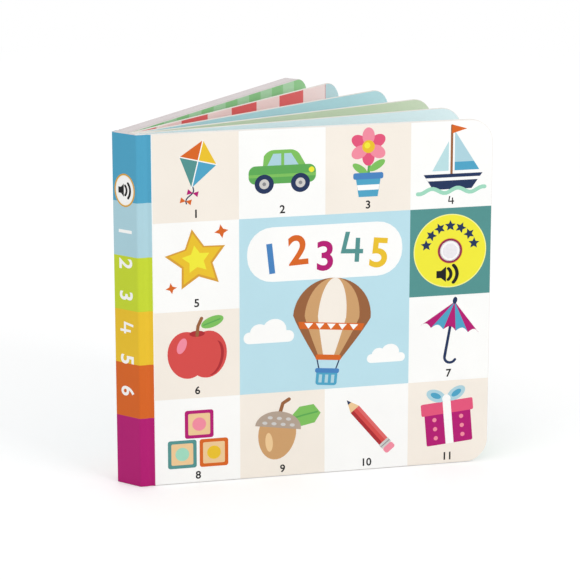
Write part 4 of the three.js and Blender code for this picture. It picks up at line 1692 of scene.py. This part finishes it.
def grown(tree: bpy.types.NodeTree, name: str, values: dict[str, float]) -> bpy.types.Mesh:
    """Run a tree once and keep its result as a plain mesh.

    Args:
        tree: The tree.
        name: Name of the mesh.
        values: The tree's inputs by name.

    Returns:
        The mesh.
    """
    seed = bpy.data.meshes.new(f"{name}_seed")
    holder = linked(f"{name}_seed", seed)
    modifier = holder.modifiers.new("grow", "NODES")
    modifier.node_group = tree
    for item in tree.interface.items_tree:
        if item.item_type == "SOCKET" and item.in_out == "INPUT" and item.name in values:
            modifier[item.identifier] = values[item.name]
    graph = bpy.context.evaluated_depsgraph_get()
    made = bpy.data.meshes.new_from_object(holder.evaluated_get(graph))
    made.name = name
    bpy.data.objects.remove(holder)
    bpy.data.meshes.remove(seed)
    return made


@dataclass(frozen=True)
class CheckField:
    """Squares in a chequered field, made by a node tree.

    Args:
        columns: Squares across.
        rows: Squares up.
        pitch: Distance between squares.
        size: Width of a square.
        ink: Their ink.
        parity: 0 or 1, for one half of the field or the other.
    """

    columns: int
    rows: int
    pitch: float
    size: float
    ink: Ink
    parity: int = 0

    def outlines(self) -> list[Outline]:
        """The squares, from the node tree's result, in page millimetres."""
        made = grown(self._tree(), "checks", {
            "Columns": self.columns, "Rows": self.rows, "Pitch": self.pitch,
            "Square": self.size, "Parity": self.parity})
        squares = [[(made.vertices[index].co.x, made.vertices[index].co.y)
                    for index in polygon.vertices] for polygon in made.polygons]
        bpy.data.meshes.remove(made)
        return squares

    def _tree(self) -> bpy.types.NodeTree:
        """A grid of points, every second one bearing a square."""
        name = "check_field"
        if name in bpy.data.node_groups:
            return bpy.data.node_groups[name]
        tree = empty_tree(name, {"Columns": "NodeSocketInt", "Rows": "NodeSocketInt",
                                 "Pitch": "NodeSocketFloat", "Square": "NodeSocketFloat",
                                 "Parity": "NodeSocketInt"})
        given = tree.nodes.new("NodeGroupInput").outputs
        rows = given["Rows"]
        index = node(tree, "GeometryNodeInputIndex").outputs[0]
        column = maths(tree, "FLOOR", maths(tree, "DIVIDE", maths(tree, "ADD", index, 0.5), rows))
        row = maths(tree, "SUBTRACT", index, maths(tree, "MULTIPLY", column, rows))
        place = maths(tree, "ADD", maths(tree, "ADD", row, column), given["Parity"])
        keep = maths(tree, "LESS_THAN", maths(tree, "MODULO", place, 2.0), 0.5)
        square = node(tree, "GeometryNodeMeshGrid", {
            "Size X": given["Square"], "Size Y": given["Square"], "Vertices X": 2, "Vertices Y": 2})
        spread(tree, point_grid(tree, given["Columns"], rows, given["Pitch"]), keep,
               square.outputs["Mesh"], print_finish(self.ink))
        return tree

    def lay(self, drawing: Drawing, x: float, y: float, layer: int) -> None:
        """Lay the squares on a drawing, the field's middle at a point.

        Args:
            drawing: The drawing.
            x: Middle of the field across.
            y: Middle of the field up.
            layer: Layer of the squares.
        """
        for square in self.outlines():
            drawing.add([(x + p, y + q) for p, q in square], self.ink, layer)


@dataclass
class Leaves(BookPart):
    """The four free leaves, printed on both sides.

    Args:
        print_start: Where a page's print starts, from the bend.
        grounds: Ink of each leaf's front and back.
    """

    print_start: float = 0.2
    grounds: tuple[tuple[Ink, Ink], ...] = ((Ink.PALE_BLUE, Ink.SAGE), (Ink.SAGE, Ink.AQUA),
                                            (Ink.AQUA, Ink.BLUSH), (Ink.BLUSH, Ink.CHECK_PALE))

    def build(self) -> list[bpy.types.Object]:
        """Dress the block's faces and print each page.

        Returns:
            The printed pieces.
        """
        inks: list[Ink] = []
        for pair in self.grounds:
            inks += [ink for ink in pair if ink not in inks]
        finishes = [LEAF_EDGE] + [print_finish(ink) for ink in inks]
        planes = [self.plan.leaf(index) for index in range(len(self.grounds))]

        def choose(normal: Vector, middle: Vector) -> int:
            """Slot of a face: a leaf's front, its back, or a cut edge."""
            best, gap = 0, 1e9
            for index, plane in enumerate(planes):
                offset = Vector((middle.x - plane.x, middle.y - plane.y, 0)).dot(plane.rear)
                if abs(offset) < gap:
                    best, gap = index, abs(offset)
            facing = normal.dot(planes[best].rear)
            if abs(facing) < 0.8:
                return 0
            front, back = self.grounds[best]
            return 1 + inks.index(front if facing < 0 else back)

        paint_faces(self.nodes["page_block"], finishes, choose)
        pieces = []
        for index in range(len(self.grounds)):
            pieces += self._print_leaf(index)
        return pieces

    def _print_leaf(self, index: int) -> list[bpy.types.Object]:
        """Print both faces of one leaf.

        Args:
            index: Which leaf, from the front.

        Returns:
            The two printed pieces.
        """
        plane = self.plan.leaf(index)
        width = self.plan.leaf_reach(index)
        height = self.sizes.height
        half = self.sizes.leaf_thickness / 2
        window = self.sizes.window(self.print_start, width)
        mirrored = [(width - x, y) for x, y in window][::-1]
        pages = (
            (hill_page(width, height, False), orchard_page(width, height, True)),
            (orchard_page(width, height, False), harbour_page(width, height, True)),
            (harbour_page(width, height, False), table_page(width, height, True)),
            (table_page(width, height, False), plain_page(width, height, Ink.CHECK_PALE)),
        )[index]
        if index == 3:
            red_checks(pages[0], width, height, shift=-7.6)
            green_checks(pages[1], width, height)
        if index == 2:
            red_checks(pages[1], width, height)
        pieces = []
        for side, drawing, outline in (("front", pages[0], window), ("back", pages[1], mirrored)):
            depth = -half if side == "front" else half
            piece = self.shop.apply(f"leaf_{index + 1}_{side}_print", drawing,
                               Face(plane, depth, tuple(outline), width))
            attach(piece, "spine")
            pieces.append(piece)
        return pieces


def red_checks(drawing: Drawing, width: float, height: float, shift: float = 0.0) -> None:
    """Large red checks with pale lines round them.

    Args:
        drawing: Page to print on.
        width: Page width.
        height: Page height.
        shift: How far the field lies off the middle, away from the gutter.
    """
    pitch, rows, lowered = 20.8, 10, 4.0
    middle = (width / 2 + shift, height / 2 - lowered)
    line, overlap = 1.6, 0.6
    CheckField(rows, rows, pitch, pitch + line, Ink.CHECK_LINE).lay(drawing, *middle, 1)
    CheckField(rows, rows, pitch, pitch + overlap, Ink.CHECK_RED).lay(drawing, *middle, 3)


def green_checks(drawing: Drawing, width: float, height: float, shift: float = 0.0) -> None:
    """Green checks, darker and paler in turn.

    Args:
        drawing: Page to print on.
        width: Page width.
        height: Page height.
        shift: How far the field lies off the middle, away from the gutter.
    """
    pitch, columns, rows = 12.0, 18, 16
    field_of_squares = CheckField(columns, rows, pitch, pitch, Ink.CHECK_GREEN, parity=1)
    field_of_squares.lay(drawing, width / 2 + shift, height / 2, 1)


@dataclass
class BackCover(BookPart):
    """Back cover with its spacer, last page and sound module.

    Args:
        softened: Moulded parts and the width of their rounded edges.
        plain: Finishes and the nodes that have them all over.
        page_start: Where the last page's print starts, from the hinge line.
        check_high: Height of the checks along the tail of the outer face.
        module_place: Middle of the module's face, from the hinge line and the tail.
        module_size: Width and height of the module's face.
        stitch_gap: Distance from the module to the stitched line.
        stitch: Length and width of a stitch.
        stitches: Stitches on each side of the middle, along the module's width and its height.
        first_number: Number in the first check.
        digit_height: Height of the numbers.
    """

    page_start: float = 3.4
    check_high: float = 34.0
    module_place: Point = (104.0, 92.0)
    module_size: Point = (104.0, 58.0)
    stitch_gap: float = 4.0
    stitch: Point = (3.6, 0.8)
    stitches: tuple[int, int] = (8, 4)
    first_number: int = 6
    digit_height: float = 16.0
    softened: tuple[tuple[str, float], ...] = (
        ("module_housing", 0.12), ("battery_door", 0.15), ("switch_knob", 0.08),
        ("try_me_button", 0.08), ("door_screw", 0.05),
    )
    plain: tuple[tuple[Finish, tuple[str, ...]], ...] = (
        # The spacer frame takes the core edge grey, which holds painted shade.
        (CORE_EDGE_PAINTED_SHADE, ("spacer_frame",)), (SHELL_PLASTIC, ("module_housing", "module_lid")),
        (DOOR_PLASTIC, ("battery_door",)), (KNOB_PLASTIC, ("switch_knob",)),
        (CIRCUIT_GREEN, ("circuit_board", "button_contact_board")), (CHIP_RESIN, ("chip_blob",)),
        (CONE_FILM, ("speaker_cone",)), (MAGNET_STEEL, ("speaker_magnet",)),
        (RED_SLEEVE, ("speaker_wire_red",)), (BLACK_SLEEVE, ("speaker_wire_black",)),
        (BUTTON_PLASTIC, ("try_me_button",)),
        (PLATED_STEEL, ("speaker_basket", "switch_body", "door_screw", "button_dome",
                        "contact_minus", "contact_plus", "contact_lower_bridge",
                        "contact_upper_bridge", "button_cell_1", "button_cell_2",
                        "button_cell_3")),
    )

    def build(self) -> list[bpy.types.Object]:
        """Dress the boards and the module.

        Returns:
            The printed pieces.
        """
        # The board's and the last page's other faces and edges take the core edge grey, which holds
        # painted shade.
        paint_faces(self.nodes["back_cover_board"], [print_finish(Ink.SKY), CORE_EDGE_PAINTED_SHADE],
                    facing(Vector((0.0, 1.0, 0.0))))
        paint_faces(self.nodes["last_page"], [print_finish(Ink.CHECK_PALE), CORE_EDGE_PAINTED_SHADE],
                    facing(Vector((0.0, -1.0, 0.0))))
        for finish, names in self.plain:
            for name in names:
                paint_faces(self.nodes[name], [finish])
        for name, width in self.softened:
            soften(self.nodes[name], width)
        sizes = self.sizes
        inner = sizes.back_thickness / 2 - sizes.pack_depth - sizes.page_thickness
        width = sizes.cover_width
        window = sizes.window(self.page_start, width)
        drawing = plain_page(width, sizes.height, Ink.CHECK_PALE)
        green_checks(drawing, width, sizes.height, shift=-8.8)
        piece = self.shop.apply("last_page_print", drawing,
                           Face(self.plan.back_cover, inner, tuple(window), width))
        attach(piece, "back_cover")
        return [piece, self._outer_print()]

    def _outer_print(self) -> bpy.types.Object:
        """Print the outer face round the module: checks with numbers, clouds and a stitched line.

        Returns:
            The printed piece.
        """
        sizes = self.sizes
        width = sizes.cover_width
        limit = width - sizes.strip - sizes.print_gap
        window = [(width - x, y) for x, y in sizes.window(sizes.strip + sizes.print_gap, width)][::-1]
        drawing = Drawing()
        inks = (Ink.BLUE, Ink.ORANGE, Ink.MAGENTA, Ink.TEAL, Ink.RED)
        pitch = limit / len(inks)
        for index, ink in enumerate(inks):
            ground = Ink.CREAM if index % 2 == 0 else Ink.WHITE
            drawing.add(box(pitch * index, 0, pitch * (index + 1), self.check_high), ground, 0)
            drawing.figure(str(self.first_number + index), pitch * (index + 0.5),
                           self.check_high / 2, self.digit_height, ink, layer=1)
        across, up = width - self.module_place[0], self.module_place[1]
        half_across, half_up = (side / 2 + self.stitch_gap for side in self.module_size)
        long, thick = self.stitch
        level, upright = self.stitches
        for side in (-1, 1):
            spots = [(across + index * half_across / (level + 0.5), up + side * half_up, long, thick)
                     for index in range(-level, level + 1)]
            spots += [(across + side * (half_across + thick), up + index * half_up / (upright + 1),
                       thick, long) for index in range(-upright, upright + 1)]
            for x, y, wide, tall in spots:
                drawing.add(box(x - wide / 2, y - tall / 2, x + wide / 2, y + tall / 2),
                            Ink.WHITE, 0)
        drawing.place(cloud(34), 32, 148, layer=2)
        drawing.place(cloud(26), 150, 140, layer=2)
        drawing.place(hot_air_balloon(), 92, 152, 0.8, 6, layer=5)
        piece = self.shop.apply("back_cover_print", drawing,
                           Face(self.plan.back_cover, sizes.back_thickness / 2, tuple(window),
                                width))
        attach(piece, "back_cover")
        return piece


@dataclass
class GutterLining(BookPart):
    """Pale board that closes the gutter between the spine panel and the back block.

    Args:
        block_start: Where the back block starts, from the hinge line.
        bite: How far the lining reaches into its neighbours.
        inset: How far its ends lie inside the head and the tail.
        clearance: Gap kept from the leaves.
        margin: Share of its width at each side that doesn't bend; not used.
    """

    block_start: float = 2.9
    bite: float = 0.1
    inset: float = 0.08
    clearance: float = 0.3
    margin: float = 0.05

    def build(self) -> bpy.types.Object:
        """Make the lining.

        Returns:
            The lining.
        """
        sizes = self.sizes
        board = sizes.back_thickness / 2
        deep = sizes.pack_depth - self.clearance
        across = math.dist(self.plan.front, self.plan.back)
        inner = sizes.spine_thickness - self.bite
        start = self.block_start + self.bite
        mesh = bmesh.new()
        rows = [[mesh.verts.new(place) for place in (
            self.plan.spine.at(inner, across - board, up),
            self.plan.spine.at(inner, across - deep, up),
            self.plan.back_cover.at(start, -deep, up),
            self.plan.back_cover.at(start, -board, up))]
                for up in (self.inset, sizes.height - self.inset)]
        low, high = rows
        closed(mesh, high, low)
        bmesh.ops.recalc_face_normals(mesh, faces=mesh.faces)
        spine_side, block_side = low[0].co.copy(), low[3].co.copy()
        piece = mesh_object("gutter_lining", mesh)
        # The lining takes the core edge grey, which holds painted shade.
        piece.data.materials.append(CORE_EDGE_PAINTED_SHADE.build())
        block_side.y = spine_side.y
        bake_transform(piece)
        return piece


@dataclass
class PushButton(BookPart):
    """Fine grid of flat studs on the push button's cap.

    Args:
        radius: Radius that the studs fill.
        pitch: Distance between studs.
        stud: Width of a stud.
        rise: Height of the studs above the cap.
        proud: Cap above the cover's outer face.
    """

    radius: float = 3.9
    pitch: float = 0.7
    stud: float = 0.52
    rise: float = 0.04
    proud: float = 0.3

    def build(self) -> bpy.types.Object:
        """Make the studs.

        Returns:
            The studded sheet, riding on the button.
        """
        count = 2 * int(self.radius / self.pitch) + 1
        data = grown(self._tree(), "button_studs", {
            "Count": count, "Pitch": self.pitch, "Stud": self.stud, "Rise": self.rise,
            "Radius": self.radius})
        depth = -self.sizes.front_thickness / 2 - self.proud
        middle = self.sizes.button
        for vertex in data.vertices:
            x, y, out = vertex.co
            vertex.co = self.plan.cover.at(middle[0] + x, depth - out, middle[1] + y)
        piece = linked("button_studs", data)
        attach(piece, "button")
        return piece

    @staticmethod
    def _tree() -> bpy.types.NodeTree:
        """A square grid of studs, kept where it lies inside a circle."""
        tree = empty_tree("stud_field", {"Count": "NodeSocketInt", "Pitch": "NodeSocketFloat",
                                         "Stud": "NodeSocketFloat", "Rise": "NodeSocketFloat",
                                         "Radius": "NodeSocketFloat"})
        given = tree.nodes.new("NodeGroupInput").outputs
        place = node(tree, "GeometryNodeInputPosition").outputs["Position"]
        reach = node(tree, "ShaderNodeVectorMath", {0: place}, "LENGTH").outputs["Value"]
        keep = maths(tree, "LESS_THAN", reach, given["Radius"])
        size = node(tree, "ShaderNodeCombineXYZ", {
            "X": given["Stud"], "Y": given["Stud"], "Z": maths(tree, "MULTIPLY", given["Rise"], 2.0)})
        stud = node(tree, "GeometryNodeMeshCube", {"Size": size.outputs["Vector"]})
        spread(tree, point_grid(tree, given["Count"], given["Count"], given["Pitch"]), keep,
               stud.outputs["Mesh"], STUD_PLASTIC)
        return tree


# The studio


@dataclass(frozen=True)
class Lamp:
    """One soft lamp.

    Args:
        name: Its name.
        place: Where it stands, in metres.
        size: Width of its square, in metres.
        power: Power in watts.
    """

    name: str
    place: tuple[float, float, float]
    size: float
    power: float

    def build(self, target: Vector) -> None:
        """Set the lamp up, turned to the target."""
        data = bpy.data.lights.new(self.name, "AREA")
        data.shape = "SQUARE"
        data.size = self.size
        data.energy = self.power
        lamp = linked(self.name, data)
        lamp.location = self.place
        lamp.rotation_euler = (target - lamp.location).to_track_quat("-Z", "Y").to_euler()


@dataclass
class Studio:
    """Camera, lamps, pale floor and white surroundings.

    Args:
        camera: Place of the camera, in metres.
        pitch: How far it looks down.
        lens: Focal length in millimetres.
        sensor: Width of the sensor in millimetres.
        target: What the lamps look at, in metres.
        lamps: The lamps.
        world_light: Strength of the surroundings as a light.
        floor_half: Half the floor's width in metres.
        floor_drop: How far the floor lies below the book, in metres.
        floor_tone: The floor's grey.
        floor_glow: Light added to it for the camera alone.
        floor_fade: Distances in metres between which it turns white.
    """

    camera: tuple[float, float, float] = (-1.15298, -0.62760, 0.43460)
    azimuth: float = -60.5
    pitch: float = 14.757
    lens: float = 164.2
    sensor: float = 36.0
    target: tuple[float, float, float] = (0.0, 0.0, 0.09)
    lamps: tuple[Lamp, ...] = (Lamp("key", (-0.35, -1.9, 1.1), 1.2, 13.0),
                               Lamp("fill", (-1.9, 0.5, 1.0), 1.4, 3.5),
                               Lamp("rear", (1.2, 1.3, 1.6), 1.4, 5.0))
    world_light: float = 0.82
    floor_half: float = 6.0
    floor_drop: float = 0.0002
    floor_tone: float = 0.8
    floor_glow: float = 0.25
    floor_fade: tuple[float, float] = (0.45, 1.3)

    def build(self) -> None:
        """Make the studio."""
        scene = bpy.context.scene
        data = bpy.data.cameras.new("camera")
        data.lens = self.lens
        data.sensor_width = self.sensor
        data.clip_end = 20.0
        view = linked("camera", data)
        view.location = self.camera
        view.rotation_euler = (math.radians(90 - self.pitch), 0.0, math.radians(self.azimuth))
        scene.camera = view
        for lamp in self.lamps:
            lamp.build(Vector(self.target))
        self._world(scene)
        self._floor()
        scene.view_settings.view_transform = "Standard"

    def _world(self, scene: bpy.types.Scene) -> None:
        """White to the camera and to transmission rays, softer as a light.

        Args:
            scene: The scene.
        """
        world = bpy.data.worlds.new("studio")
        scene.world = world
        world.use_nodes = True
        tree = world.node_tree
        path = tree.nodes.new("ShaderNodeLightPath").outputs
        seen = maths(tree, "MAXIMUM", path["Is Camera Ray"], path["Is Transmission Ray"])
        level = node(tree, "ShaderNodeMapRange", {
            "Value": seen, "To Min": self.world_light, "To Max": 1.0})
        feed(tree, tree.nodes["Background"], {
            "Color": (1.0, 1.0, 1.0, 1.0), "Strength": level.outputs["Result"]})

    def _floor(self) -> None:
        """A wide pale floor that keeps the book's shadow and turns white further out."""
        mesh = bmesh.new()
        bmesh.ops.create_grid(mesh, x_segments=1, y_segments=1, size=self.floor_half)
        floor = mesh_object("floor", mesh)
        floor.location.z = -self.floor_drop
        material = bpy.data.materials.new("floor")
        material.use_nodes = True
        tree = material.node_tree
        tree.nodes.clear()
        seen = node(tree, "ShaderNodeLightPath").outputs["Is Camera Ray"]
        place = node(tree, "ShaderNodeTexCoord").outputs["Object"]
        reach = node(tree, "ShaderNodeVectorMath", {0: place}, "LENGTH").outputs["Value"]
        near, far = self.floor_fade
        out = node(tree, "ShaderNodeMapRange", {"Value": reach, "From Min": near, "From Max": far})
        tone = self.floor_tone
        matt = node(tree, "ShaderNodeBsdfDiffuse", {"Color": (tone, tone, tone, 1.0)})
        glow = node(tree, "ShaderNodeEmission", {
            "Color": (1.0, 1.0, 1.0, 1.0), "Strength": maths(tree, "MULTIPLY", seen, self.floor_glow)})
        both = node(tree, "ShaderNodeAddShader", {0: matt.outputs[0], 1: glow.outputs[0]})
        white = node(tree, "ShaderNodeEmission")
        fade = node(tree, "ShaderNodeMixShader", {
            0: maths(tree, "MULTIPLY", out.outputs["Result"], seen), 1: both.outputs[0],
            2: white.outputs[0]})
        node(tree, "ShaderNodeOutputMaterial", {"Surface": fade.outputs[0]})
        floor.data.materials.append(material)


def main() -> None:
    """Load the frame, dress the book and set up the studio."""
    logging.basicConfig(level=logging.INFO, format="%(message)s")
    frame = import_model()
    nodes = frame["nodes"]
    sizes = BookSizes()
    plan = BookPlan.from_frame(sizes, frame["joints"])
    shop = PrintShop()
    Studio().build()
    for part in (BackCover, Spine, Leaves, FrontCover, GutterLining, PushButton):
        made = part(sizes, plan, shop, nodes).build()
        LOG.info("%s: %s", part.__name__, made)
    bpy.context.view_layer.update()


if __name__ == "__main__":
    main()
